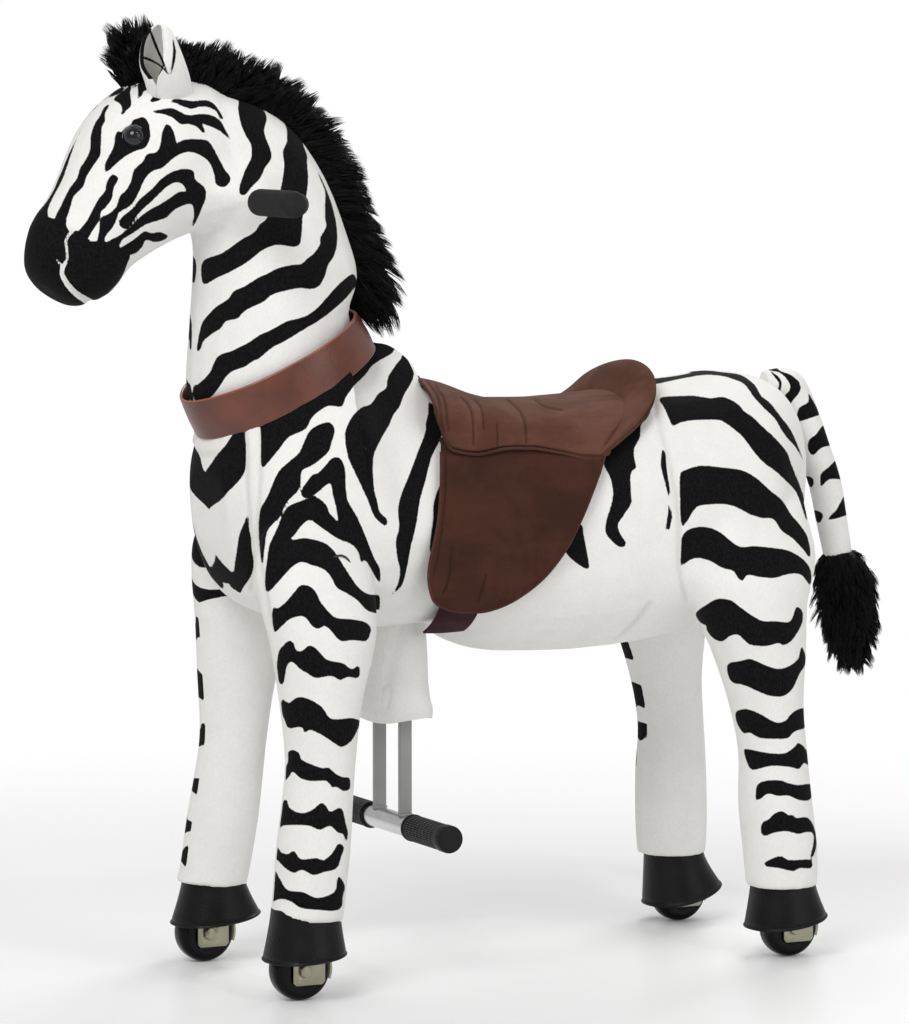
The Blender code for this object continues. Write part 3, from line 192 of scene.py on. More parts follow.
def picture_place(points):
    """The picture's pixel for points in wheelbase coordinates, each seen as if on the near side."""
    near = points + [0.0, WHEELS_Y, 0.0]
    near[:, 0] = np.abs(near[:, 0])
    offset = near - CAMERA_PLACE
    scale = FOCAL_PIXELS / -(offset @ BACK)
    return np.stack([
        PICTURE_WIDTH / 2.0 + offset @ RIGHT * scale, PICTURE_HEIGHT / 2.0 - offset @ UP * scale
    ], axis=1)


def nearest(spots, start, end):
    """Distance from each spot to the nearest of the segments, that segment, and how far along it."""
    run = end - start
    offset = spots[:, None] - start
    share = np.clip((offset * run).sum(2) / np.maximum((run * run).sum(1), 1e-9), 0.0, 1.0)
    gap = offset - share[..., None] * run
    distance = np.sqrt((gap * gap).sum(2))
    which = distance.argmin(1)
    rows = np.arange(len(spots))
    return distance[rows, which], which, share[rows, which]


def beside(places, spots, margin):
    """The numbers of the places in the box round some spots, with a margin."""
    return np.flatnonzero(((places > spots.min(0) - margin) & (places < spots.max(0) + margin)).all(1))


def patch_depth(places, outline):
    """How far each place lies inside a closed outline, in pixels; negative outside."""
    depth = np.full(len(places), NO_MARK)
    ring = smoothed(outline, 4, closed=True)
    near = beside(places, ring, 9)
    spots = places[near]
    start, end = ring, np.roll(ring, -1, axis=0)
    distance, _, _ = nearest(spots, start, end)
    level = spots[:, 1:2]
    crossed = (start[:, 1] > level) != (end[:, 1] > level)
    rise = np.where(end[:, 1] == start[:, 1], 1e-9, end[:, 1] - start[:, 1])
    meets = start[:, 0] + (level - start[:, 1]) / rise * (end[:, 0] - start[:, 0])
    inside = (crossed & (spots[:, 0:1] < meets)).sum(1) % 2 == 1
    depth[near] = np.where(inside, distance, -distance)
    return depth


def line_depth(places, line):
    """How far each place lies inside a line of (x, y, half width) points; negative outside."""
    rows = smoothed(line, 5)
    start, end = rows[:-1], rows[1:]
    depth = np.full(len(places), NO_MARK)
    near = beside(places, rows[:, :2], 14)
    distance, which, share = nearest(places[near], start[:, :2], end[:, :2])
    depth[near] = start[which, 2] + (end[which, 2] - start[which, 2]) * share - distance
    return depth


def marked(obj, patches, pale_lines=(), plain=None, dark_lines=(), start=NO_MARK):
    """Stores how deep each point of a skin lies in the dark marks, for its material."""
    places = picture_place(points_of(obj))
    depth = np.zeros(len(places)) + start
    for outline in patches:
        depth = np.maximum(depth, patch_depth(places, outline))
    for line in dark_lines:
        depth = np.maximum(depth, line_depth(places, line))
    for line in pale_lines:
        depth = np.minimum(depth, -line_depth(places, line))
    if plain is not None:
        depth = np.minimum(depth, plain)
    layered(obj, "dark", np.clip(depth, -DEEPEST, DEEPEST))


def creased(obj, lines, depth, where=None):
    """Presses seams into a skin, along lines of (x, y, half width) points of the picture."""
    points, normals = points_of(obj), normals_of(obj)
    places = picture_place(points)
    pressed = np.zeros(len(points))
    for line in lines:
        rows = smoothed(line, 5)
        near = beside(places, rows[:, :2], 14)
        distance, which, _ = nearest(places[near], rows[:-1, :2], rows[1:, :2])
        pressed[near] = np.maximum(pressed[near], np.exp(-((distance / rows[which, 2]) ** 2)))
    if where is not None:
        pressed *= where(points)
    # How deep each point is pressed in, which the plush and suede finishes darken as painted shade in the
    # crease.
    layered(obj, "fold", pressed)
    reshaped(obj, points - normals * (pressed * depth)[:, None])


# Stuffed skins
STATION_STEPS = 3  # rings drawn for each station of a form


def stuffed(name, stations, sides=24, fullness=2.0):
    """A skin drawn out ring by ring. A station is its upper and lower (y, z), half width and middle's x."""
    rows = smoothed([
        [*top, *bottom, *(rest if len(rest) > 1 else (*rest, 0.0))] for top, bottom, *rest in stations
    ], STATION_STEPS)
    skin = disc(name, sides)
    bm = bmesh.from_edit_mesh(skin.data)
    for corner in bm.verts:
        corner.co.xy = [math.copysign(abs(value) ** (2.0 / fullness), value) for value in corner.co.xy]
    place = Matrix.Identity(4)
    for i, (y0, z0, y1, z1, width, x) in enumerate(rows):
        half = Vector((0.0, y0 - y1, z0 - z1)) / 2.0
        across = Vector((width, 0.0, 0.0))
        along = across.cross(half).normalized()
        target = Matrix((across, half, along)).transposed().to_4x4()
        target.translation = (x, (y0 + y1) / 2.0, (z0 + z1) / 2.0)
        if i:
            bpy.ops.mesh.extrude_region_move()
        bm = bmesh.from_edit_mesh(skin.data)
        step = target @ place.inverted()
        for corner in bm.verts:
            if corner.select:
                corner.co = step @ corner.co
        bmesh.update_edit_mesh(skin.data)
        place = target
    outwards()
    return skin


def one_skin(name, parts, voxel, rounds):
    """Several skins made one, and eased where they meet."""
    only(*parts)
    if len(parts) > 1:
        bpy.ops.object.join()
    skin = called(name)
    applied(skin, "REMESH", mode="VOXEL", voxel_size=voxel, use_smooth_shade=True)
    applied(skin, "SMOOTH", factor=0.5, iterations=rounds)
    return skin


def shown(obj, finish, body, *nodes, slot=None, fill=None):
    """Gives a finished piece its material, body and place, and hides the solids that it stands for."""
    if obj.data.materials:
        obj.data.materials.clear()
    obj.data.materials.append(finish)
    reshaped(obj, points_of(obj) + [0.0, WHEELS_Y, 0.0])
    if isinstance(body, str):
        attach(obj, body)
    else:
        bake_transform(obj)
    if nodes:
        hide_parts(*nodes)


def both_sides(make):
    """Makes a piece for the left and for the right."""
    for word, sign in SIDES:
        make(word, sign)


# Materials
class Number:
    """A shader's number: sums with it add Math nodes."""

    def __init__(self, finish, socket):
        self.finish, self.socket = finish, socket

    def sum(self, operation, first, second=0.0):
        return self.finish.node("ShaderNodeMath", {"operation": operation}, {0: first, 1: second})

    def __add__(self, other):
        return self.sum("ADD", self, other)

    def __sub__(self, other):
        return self.sum("SUBTRACT", self, other)

    def __rsub__(self, other):
        return self.sum("SUBTRACT", other, self)

    def __mul__(self, other):
        return self.sum("MULTIPLY", self, other)

    __radd__ = __add__
    __rmul__ = __mul__


class Finish:
    """A material. node() takes a node's type, its settings, its sockets' values or links, and the output."""

    def __init__(self, name, roughness=0.5, metallic=0.0, **fixed):
        self.material = bpy.data.materials.new(name)
        self.material.use_nodes = True
        self.tree = self.material.node_tree
        self.shader = self.tree.nodes["Principled BSDF"]
        self.set(Roughness=roughness, Metallic=metallic)
        for key, value in fixed.items():
            self.shader.inputs[key.replace("_", " ")].default_value = value

    def node(self, kind, settings=None, values=None, output=0):
        made = self.tree.nodes.new(kind)
        for key, value in (settings or {}).items():
            setattr(made, key, value)
        for key, value in (values or {}).items():
            self.join(made.inputs[key], value)
        return Number(self, made.outputs[output])

    def join(self, socket, value):
        if isinstance(value, Number):
            self.tree.links.new(value.socket, socket)
        elif socket.type == "RGBA" and len(value) == 3:
            socket.default_value = (*value, 1.0)
        else:
            socket.default_value = value

    def set(self, **values):
        for key, value in values.items():
            self.join(self.shader.inputs[key.replace("_", " ")], value)
        return self

    def spot(self):
        return self.node("ShaderNodeTexCoord", output="Object")

    def axes(self):
        """The place's x, y and z, each as a number."""
        spot = self.spot()
        return [self.node("ShaderNodeSeparateXYZ", None, {"Vector": spot}, axis) for axis in "XYZ"]

    def layer(self, name):
        """The number that the mesh stores under this name."""
        return self.node("ShaderNodeAttribute", {"attribute_name": name}, output="Fac")

    def place(self, scale=(1.0, 1.0, 1.0)):
        return self.node("ShaderNodeMapping", None, {"Vector": self.spot(), "Scale": scale})

    def cells(self, scale):
        return self.node("ShaderNodeTexVoronoi", None, {"Vector": self.place(), "Scale": scale}, "Distance")

    def noise(self, scale, detail=3.0, rough=0.55, place=None, twist=0.0):
        values = {"Vector": place or self.place(), "Scale": scale, "Detail": detail, "Roughness": rough}
        return self.node("ShaderNodeTexNoise", None, {**values, "Distortion": twist})

    def between(self, value, low, high):
        """0 below low, 1 above high."""
        settings = {"interpolation_type": "SMOOTHSTEP"}
        return self.node("ShaderNodeMapRange", settings, {"Value": value, "From Min": low, "From Max": high})

    def mix(self, share, first, second):
        values = {"Factor": share, 6: first, 7: second}
        return self.node("ShaderNodeMix", {"data_type": "RGBA"}, values, 2)

    def bump(self, height, distance, strength):
        values = {"Height": height, "Distance": distance, "Strength": strength}
        return self.node("ShaderNodeBump", None, values)


def plush_finish():
    """Short pile, white with dark marks whose edges are a little uneven, painted shade in its seams, and ears
    grey inside: part their own colour, part painted shade of the hollow.
    """
    finish = Finish("striped_plush", 0.95, Sheen_Weight=0.02, Sheen_Roughness=0.4, Specular_IOR_Level=0.12)
    pile = finish.noise(620.0, 2.0, 0.5, finish.place((1.0, 1.0, 0.5)))
    lay = finish.noise(38.0, 3.0)
    edge = finish.between(finish.layer("dark") + (pile - 0.5) * 1.3 + (lay - 0.5) * 1.4, -0.5, 0.5)
    white = finish.mix(finish.between(pile, 0.30, 0.66), (0.760, 0.748, 0.722), (0.800, 0.790, 0.765))
    white = finish.mix(finish.between(lay, 0.35, 0.8) * 0.5, white, (0.73, 0.716, 0.688))
    # Painted shade: greyer along the pressed seams and creases, by how deep they are pressed.
    white = finish.mix(finish.layer("fold") * 0.28, white, (0.40, 0.38, 0.35))
    # Grey inside the ears: part their own colour, part painted shade of the hollow.
    white = finish.mix(finish.layer("lining_and_shade"), white, (0.70, 0.68, 0.64))
    black = finish.mix(finish.between(pile, 0.35, 0.7), (0.0025, 0.0025, 0.003), (0.0075, 0.0075, 0.0085))
    finish.set(Base_Color=finish.mix(edge, white, black))
    finish.set(Normal=finish.bump(pile * 0.7 + lay * 0.9, 0.0007, 0.4))
    return finish.material


def fur_finish():
    finish = Finish("black_fur", 0.5, Specular_IOR_Level=0.16)
    strand = finish.noise(260.0, 2.0)
    finish.set(Base_Color=finish.mix(strand, (0.0015, 0.0015, 0.0018), (0.0075, 0.0072, 0.0072)))
    return finish.material


def suede_finish(name, deep, worn):
    """Brushed nap with cloudy lighter strokes, and painted shade darkening its pressed folds."""
    finish = Finish(name, 0.9, Sheen_Weight=0.03, Sheen_Roughness=0.35, Specular_IOR_Level=0.15)
    nap = finish.noise(950.0, 2.0, 0.6)
    cloud = finish.noise(13.0, 4.0, 0.6, twist=0.6)
    stroke = finish.noise(90.0, 3.0, 0.6, finish.place((1.0, 0.25, 1.0)))
    colour = finish.mix(finish.between(cloud + (stroke - 0.5) * 0.3, 0.34, 0.7), deep, worn)
    # Painted shade: darker where creased() pressed a pleat or fold in.
    colour = finish.mix(finish.layer("fold") * 0.55, colour, [c * 0.3 for c in deep])
    finish.set(Base_Color=finish.mix(finish.between(nap, 0.3, 0.9) * 0.35, colour, [c * 0.5 for c in deep]))
    finish.set(Normal=finish.bump(nap + stroke * 0.5, 0.0006, 0.5))
    return finish.material


def leather_finish(name, deep, light, roughness, grain, coat=0.0, shine=0.45):
    """Grained hide with cloudy colour, paler where its raw edge shows."""
    finish = Finish(name, roughness, Coat_Roughness=0.25, Coat_Weight=coat, Specular_IOR_Level=shine)
    cells = finish.cells(grain)
    cloud = finish.noise(20.0, 3.0)
    colour = finish.mix(finish.between(cloud, 0.3, 0.75), deep, light)
    finish.set(
        Base_Color=finish.mix(finish.layer("raw") * 0.8, colour, [min(c * 2.2 + 0.02, 1.0) for c in light]),
        Roughness=roughness + (cloud - 0.5) * 0.25,
        Normal=finish.bump(cells * 0.6 + finish.noise(60.0) * 0.8, 0.0007, 0.5),
    )
    return finish.material


def eye_finish(centre, out):
    """A dark glass eye: black pupil, blue-grey iris."""
    finish = Finish("eye_glass", 0.04, Specular_IOR_Level=0.5)
    x, y, z = finish.axes()
    side = x.sum("ABSOLUTE", x)
    near = (side - centre[0]) * out[0] + (y - centre[1]) * out[1] + (z - centre[2]) * out[2]
    iris = finish.between(near, 0.0035, 0.0062)
    pupil = finish.between(near, 0.0072, 0.0080)
    colour = finish.mix(iris, (0.004, 0.004, 0.005), (0.020, 0.023, 0.032))
    finish.set(Base_Color=finish.mix(pupil, colour, (0.002, 0.002, 0.002)))
    return finish.material


def metal_finish(name, colour, roughness, brushed=0.0):
    """Bare steel, with grime and fine lines along x."""
    finish = Finish(name, roughness, 1.0)
    grime = finish.noise(70.0, 3.0)
    lines = finish.noise(600.0, 2.0, 0.5, finish.place((1.0, 0.05, 0.05)))
    finish.set(
        Base_Color=finish.mix(grime, [c * 0.82 for c in colour], colour),
        Roughness=roughness + (grime - 0.5) * 0.2,
        Normal=finish.bump(lines, 0.0002, brushed),
    )
    return finish.material


def painted_finish(name, colour, roughness, shine=0.4):
    """Paint, board or moulded rubber, a little uneven."""
    finish = Finish(name, roughness, Specular_IOR_Level=shine)
    peel = finish.noise(500.0, 2.0)
    finish.set(Base_Color=finish.mix(finish.noise(40.0), [c * 0.85 for c in colour], colour))
    finish.set(Normal=finish.bump(peel, 0.0003, 0.4))
    return finish.material


def foam_finish():
    finish = Finish("foam_rubber", 0.82, Specular_IOR_Level=0.2)
    finish.set(Base_Color=finish.mix(finish.noise(120.0), (0.009, 0.0095, 0.009), (0.020, 0.021, 0.020)))
    finish.set(Normal=finish.bump(finish.cells(900.0), 0.0006, 0.6))
    return finish.material


def knurled_finish(middle_y, middle_z):
    """Rubber with crossed grooves round the pedal tube."""
    finish = Finish("knurled_rubber", 0.6, Specular_IOR_Level=0.2)
    x, y, z = finish.axes()
    turn = x.sum("ARCTAN2", z - middle_z, y - middle_y)
    first, second = (x.sum("SINE", x * 1400.0 + turn * spin) for spin in (18.0, -18.0))
    worn = finish.between(first * second, -0.2, 0.9)
    finish.set(Base_Color=finish.mix(worn, (0.006, 0.006, 0.006), (0.11, 0.115, 0.115)))
    finish.set(Normal=finish.bump(first * second, 0.0008, 0.9))
    return finish.material


PLUSH = plush_finish()
FUR = fur_finish()
SEAT_SUEDE = suede_finish("seat_suede", (0.088, 0.034, 0.022), (0.138, 0.060, 0.041))
FLAP_SUEDE = suede_finish("flap_suede", (0.040, 0.0155, 0.0095), (0.066, 0.0235, 0.0155))
PIPING_SUEDE = suede_finish("piping_suede", (0.058, 0.022, 0.015), (0.092, 0.038, 0.027))
MAROON_WEB = suede_finish("maroon_web", (0.030, 0.010, 0.013), (0.050, 0.016, 0.020))
COLLAR_LEATHER = leather_finish(
    "collar_leather", (0.085, 0.020, 0.010), (0.140, 0.036, 0.018), 0.36, grain=380.0, coat=0.20
)
HOOF_LEATHER = leather_finish(
    "hoof_leather", (0.0025, 0.0025, 0.0028), (0.007, 0.007, 0.008), 0.36, grain=420.0, shine=0.18
)
WHEEL_BLACK = painted_finish("wheel_black", (0.002, 0.002, 0.002), 0.06, 0.14)
ZINC = metal_finish("zinc_steel", (0.36, 0.345, 0.255), 0.3)
CHROME = metal_finish("bright_steel", (0.74, 0.74, 0.75), 0.22, 0.3)
GREY_STEEL = painted_finish("grey_post", (0.33, 0.33, 0.325), 0.42)
FRAME_PAINT = painted_finish("frame_paint", (0.03, 0.03, 0.03), 0.4)
SPRING = metal_finish("spring_steel", (0.35, 0.35, 0.37), 0.35)
BOARD = painted_finish("saddle_board", (0.30, 0.21, 0.12), 0.7)
FOAM = foam_finish()
KNURLED = knurled_finish(WHEELS_Y + PEDAL_Y, PEDAL_Z)
CAP_BLACK = painted_finish("cap_rubber", (0.006, 0.006, 0.006), 0.45, 0.2)
EYE_GLASS = eye_finish((EYE[0], EYE[1] + WHEELS_Y, EYE[2]), EYE_OUT)
EYE_RING = painted_finish("eye_ring", (0.12, 0.12, 0.125), 0.3)

# Dark marks of the face, as outlines in the picture
FACE = [
    [(122, 86), (108, 92), (96, 99), (86, 108), (76, 122), (70, 136), (62, 156), (54, 175), (46, 193),
     (39, 208), (35, 221), (47, 220), (48, 210), (52, 200), (62, 180), (69, 161), (76, 141), (86, 121),
     (96, 107), (106, 99), (122, 92)],
    [(109, 105), (104, 108), (100, 116), (95, 123), (91, 135), (90, 150), (86, 159), (80, 168), (77, 178),
     (70, 188), (64, 199), (60, 208), (55, 219), (60, 226), (66, 219), (70, 208), (74, 196), (83, 187),
     (87, 176), (94, 165), (100, 155), (101, 142), (102, 128), (105, 121), (105, 114)],
    [(114, 99), (123, 91), (131, 86), (130, 93), (131, 99), (131, 106), (126, 111), (124, 114), (121, 114),
     (122, 108), (119, 103)],
    [(139, 83), (150, 80), (148, 89), (144, 91), (142, 95), (138, 99), (138, 93)],
    [(159, 89), (168, 88), (174, 94), (167, 92), (162, 92), (162, 98), (157, 101), (150, 102), (153, 96),
     (153, 91)],
    [(131, 124), (133, 120), (143, 117), (148, 122), (150, 130), (150, 139), (145, 148), (136, 151),
     (126, 156), (117, 163), (108, 171), (105, 171), (105, 164), (110, 154), (114, 145), (115, 136),
     (118, 131), (121, 132), (125, 128)],
    [(111, 175), (117, 176), (118, 180), (114, 188), (112, 198), (106, 207), (101, 212), (99, 221),
     (93, 230), (88, 239), (84, 245), (76, 240), (79, 231), (86, 222), (91, 213), (97, 202), (100, 197),
     (105, 191), (106, 184)],
    [(168, 124), (172, 128), (175, 136), (177, 143), (183, 140), (194, 139), (206, 140), (211, 144),
     (217, 155), (222, 164), (225, 170), (230, 176), (230, 181), (226, 186), (221, 187), (216, 184),
     (215, 179), (213, 171), (209, 162), (200, 155), (190, 152), (180, 154), (171, 160), (162, 168),
     (153, 171), (145, 179), (140, 190), (136, 198), (130, 206), (120, 212), (117, 218), (113, 227),
     (105, 238), (105, 246), (97, 246), (99, 230), (100, 221), (102, 217), (108, 214), (116, 207),
     (120, 196), (126, 190), (131, 181), (134, 170), (143, 161), (147, 154), (156, 152), (160, 145),
     (162, 133), (165, 126)],
    [(119, 222), (123, 216), (133, 208), (140, 199), (153, 188), (159, 181), (170, 173), (183, 169),
     (193, 171), (195, 179), (202, 185), (206, 191), (205, 201), (200, 213), (194, 225), (192, 225),
     (194, 216), (193, 207), (190, 204), (182, 206), (173, 211), (166, 218), (157, 221), (145, 225),
     (133, 233), (123, 239), (119, 245), (110, 249), (109, 241), (119, 236), (130, 227), (139, 218),
     (148, 211), (159, 205), (170, 198), (179, 192), (186, 191), (182, 184), (176, 182), (168, 186),
     (160, 193), (151, 202), (143, 209), (137, 216), (131, 225), (125, 229), (120, 226)],
    [(145, 231), (151, 233), (160, 232), (167, 235), (167, 238), (162, 241), (154, 242), (146, 240),
     (142, 247), (136, 253), (130, 255), (122, 255), (119, 249), (125, 245), (133, 240), (139, 235)],
    [(171, 102), (175, 99), (185, 100), (194, 101), (205, 100), (213, 103), (218, 109), (223, 118),
     (220, 118), (216, 111), (208, 107), (199, 107), (191, 109), (182, 106), (176, 103)],
    [(153, 111), (159, 110), (171, 108), (179, 111), (188, 115), (202, 114), (213, 116), (221, 122),
     (226, 131), (231, 140), (228, 138), (222, 133), (216, 129), (206, 125), (202, 124), (205, 131),
     (203, 133), (197, 127), (188, 124), (180, 124), (173, 118), (163, 114), (155, 113)],
    [(30, 212), (40, 216), (48, 217), (55, 219), (66, 219), (66, 225), (70, 232), (73, 231), (79, 231),
     (88, 239), (91, 241), (98, 241), (105, 242), (111, 241), (119, 245), (120, 249), (130, 255),
     (127, 264), (123, 275), (118, 283), (110, 292), (100, 302), (93, 318), (75, 322), (50, 316), (30, 305),
     (12, 280), (12, 240)],
]
MUZZLE_SEAM = [
    [(72, 231, 1.8), (66, 240, 1.2), (67, 251, 1.0), (67, 260, 1.0), (63, 266, 2.0)],
    [(63, 266, 2.0), (62, 274, 2.0), (68, 285, 2.6), (78, 295, 3.0), (92, 304, 4.0)],
    [(63, 266, 1.5), (59, 263, 0.8), (56, 259, 0.4)],
]
NECK_MARKS = [
    [(228, 78), (238, 99), (238, 110), (241, 124), (246, 136), (251, 145), (251, 158), (246, 168),
     (241, 181), (239, 191), (241, 195), (245, 195), (252, 187), (260, 178), (265, 168), (271, 159),
     (271, 151), (267, 141), (264, 130), (267, 119), (264, 111), (260, 108), (254, 102), (250, 84)],
    [(280, 116), (286, 127), (287, 141), (283, 151), (284, 164), (283, 176), (281, 188), (278, 198),
     (266, 219), (260, 224), (254, 232), (241, 240), (231, 247), (220, 254), (208, 258), (203, 262),
     (201, 271), (204, 284), (217, 278), (232, 271), (246, 263), (260, 252), (272, 246), (281, 245),
     (294, 247), (300, 244), (301, 238), (302, 228), (303, 216), (306, 198), (308, 179), (307, 164),
     (307, 155), (303, 144), (300, 122)],
    [(318, 172), (320, 179), (325, 191), (325, 204), (325, 218), (326, 227), (320, 238), (320, 244),
     (314, 253), (308, 258), (301, 264), (291, 265), (278, 268), (266, 274), (257, 278), (245, 286),
     (234, 291), (228, 299), (217, 306), (209, 314), (203, 321), (200, 329), (198, 340), (197, 350),
     (200, 350), (203, 342), (208, 337), (215, 332), (221, 328), (225, 322), (231, 320), (238, 318),
     (246, 310), (263, 302), (272, 295), (288, 290), (300, 288), (312, 289), (320, 285), (325, 275),
     (328, 265), (334, 256), (337, 244), (337, 228), (335, 216), (332, 205), (328, 194), (323, 182)],
    [(352, 274), (357, 283), (352, 291), (343, 301), (334, 309), (318, 321), (300, 332), (285, 341),
     (272, 348), (260, 358), (254, 361), (244, 367), (233, 371), (226, 377), (220, 386), (212, 396),
     (203, 402), (197, 402), (193, 395), (194, 386), (200, 383), (210, 372), (215, 361), (220, 355),
     (231, 351), (240, 347), (251, 341), (260, 335), (269, 331), (280, 325), (288, 321), (300, 318),
     (308, 315), (318, 307), (328, 296), (338, 285)],
]
CHEST_MARKS = [
    [(240, 421), (243, 421), (245, 432), (246, 448), (246, 461), (245, 471), (240, 480), (229, 491),
     (220, 501), (210, 508), (204, 520), (206, 534), (211, 547), (219, 559), (226, 567), (233, 572),
     (235, 563), (237, 548), (239, 535), (243, 526), (248, 515), (249, 528), (251, 538), (252, 551),
     (254, 563), (252, 574), (248, 581), (243, 588), (240, 593), (232, 588), (228, 583), (223, 588),
     (217, 585), (211, 579), (203, 574), (190, 566), (180, 540), (180, 500), (188, 478), (202, 475),
     (209, 466), (217, 455), (225, 446), (229, 440), (234, 431)],
    [(375, 328), (383, 332), (394, 345), (392, 353), (380, 360), (372, 366), (365, 375), (354, 386),
     (346, 397), (343, 405), (339, 407), (329, 406), (321, 410), (312, 418), (305, 429), (289, 437),
     (281, 447), (272, 458), (264, 467), (261, 463), (261, 438), (261, 417), (272, 412), (285, 406),
     (300, 397), (312, 388), (325, 378), (340, 363), (352, 354), (365, 345), (372, 337)],
    [(400, 360), (404, 354), (411, 366), (414, 374), (411, 383), (404, 395), (400, 406), (394, 414),
     (389, 425), (380, 441), (374, 454), (373, 466), (373, 474), (374, 489), (377, 500), (380, 512),
     (387, 519), (386, 526), (378, 521), (373, 514), (368, 501), (360, 483), (354, 471), (348, 457),
     (345, 440), (346, 429), (352, 417), (361, 408), (371, 404), (378, 394), (386, 388), (388, 377),
     (395, 366)],
    [(328, 422), (333, 425), (335, 431), (332, 441), (329, 451), (321, 459), (311, 466), (302, 471),
     (301, 483), (298, 491), (289, 500), (284, 508), (280, 517), (272, 525), (267, 532), (265, 546),
     (263, 562), (261, 561), (260, 551), (259, 535), (259, 520), (261, 508), (268, 495), (273, 483),
     (278, 472), (286, 464), (298, 454), (303, 445), (309, 432), (318, 425)],
    [(337, 457), (341, 459), (345, 469), (346, 486), (348, 501), (357, 517), (365, 535), (374, 557),
     (380, 569), (380, 582), (375, 577), (366, 561), (361, 562), (358, 552), (351, 544), (338, 539),
     (326, 531), (315, 523), (310, 520), (303, 524), (295, 534), (291, 540), (303, 538), (312, 539),
     (325, 543), (334, 551), (343, 565), (351, 577), (358, 587), (368, 594), (378, 595), (380, 599),
     (379, 611), (375, 613), (366, 610), (358, 601), (348, 594), (337, 588), (331, 577), (323, 569),
     (311, 565), (301, 562), (291, 568), (280, 580), (268, 592), (265, 585), (265, 577), (267, 561),
     (269, 546), (274, 535), (278, 526), (283, 514), (289, 506), (301, 501), (314, 497), (321, 500),
     (327, 506), (329, 512), (334, 518), (338, 521), (336, 508), (333, 495), (331, 485), (328, 484),
     (318, 492), (311, 497), (304, 498), (301, 492), (306, 483), (312, 475), (318, 473), (325, 466),
     (331, 459)],
    [(274, 607), (278, 608), (288, 600), (295, 591), (301, 585), (309, 586), (315, 591), (320, 601),
     (328, 611), (337, 618), (351, 619), (365, 622), (371, 628), (370, 634), (366, 641), (354, 640),
     (341, 641), (335, 636), (329, 629), (324, 626), (318, 629), (311, 625), (307, 619), (301, 616),
     (290, 619), (282, 626), (275, 632), (273, 626), (272, 613)],
    [(280, 649), (283, 646), (288, 641), (293, 642), (296, 650), (302, 651), (308, 646), (314, 647),
     (321, 654), (328, 660), (343, 663), (351, 669), (358, 666), (360, 670), (358, 678), (348, 677),
     (340, 680), (331, 676), (316, 678), (307, 673), (300, 669), (292, 662), (287, 666), (285, 676),
     (283, 684), (279, 682), (277, 666), (278, 655)],
    [(282, 699), (289, 703), (294, 699), (301, 697), (313, 701), (323, 708), (330, 718), (341, 719),
     (351, 718), (360, 721), (357, 731), (351, 741), (342, 747), (334, 743), (322, 735), (310, 730),
     (305, 733), (301, 727), (289, 728), (285, 721), (281, 710)],
    [(288, 752), (293, 750), (299, 753), (302, 760), (313, 765), (322, 768), (329, 768), (336, 774),
     (343, 777), (350, 778), (350, 789), (343, 791), (337, 787), (331, 787), (327, 781), (311, 781),
     (300, 778), (293, 772), (289, 777), (283, 782), (285, 769), (288, 761)],
    [(282, 802), (287, 800), (290, 808), (301, 813), (312, 810), (321, 803), (326, 806), (330, 812),
     (339, 808), (343, 811), (346, 824), (348, 833), (346, 841), (343, 834), (338, 833), (330, 826),
     (320, 830), (309, 826), (292, 825), (282, 826), (278, 830), (280, 814)],
    [(276, 845), (281, 852), (288, 854), (294, 851), (301, 859), (316, 858), (324, 860), (332, 853),
     (338, 844), (344, 847), (341, 857), (337, 868), (324, 872), (313, 875), (302, 870), (294, 873),
     (285, 868), (277, 860), (273, 863), (274, 852)],
    [(275, 871), (281, 881), (288, 890), (303, 892), (317, 898), (334, 892), (337, 879), (340, 877),
     (345, 886), (343, 896), (341, 908), (331, 911), (320, 910), (301, 908), (290, 901), (280, 899),
     (271, 902), (269, 896), (271, 879)],
    [(429, 402), (436, 410), (442, 431), (440, 440), (432, 456), (426, 479), (420, 500), (416, 525),
     (411, 546), (407, 568), (403, 583), (399, 589), (390, 596), (394, 591), (398, 583), (400, 570),
     (397, 556), (396, 541), (399, 527), (398, 510), (401, 496), (409, 475), (417, 454), (425, 433),
     (426, 423), (428, 414)],
    [(442, 482), (434, 502), (433, 520), (430, 545), (431, 553), (438, 548), (446, 520), (450, 490)],
]
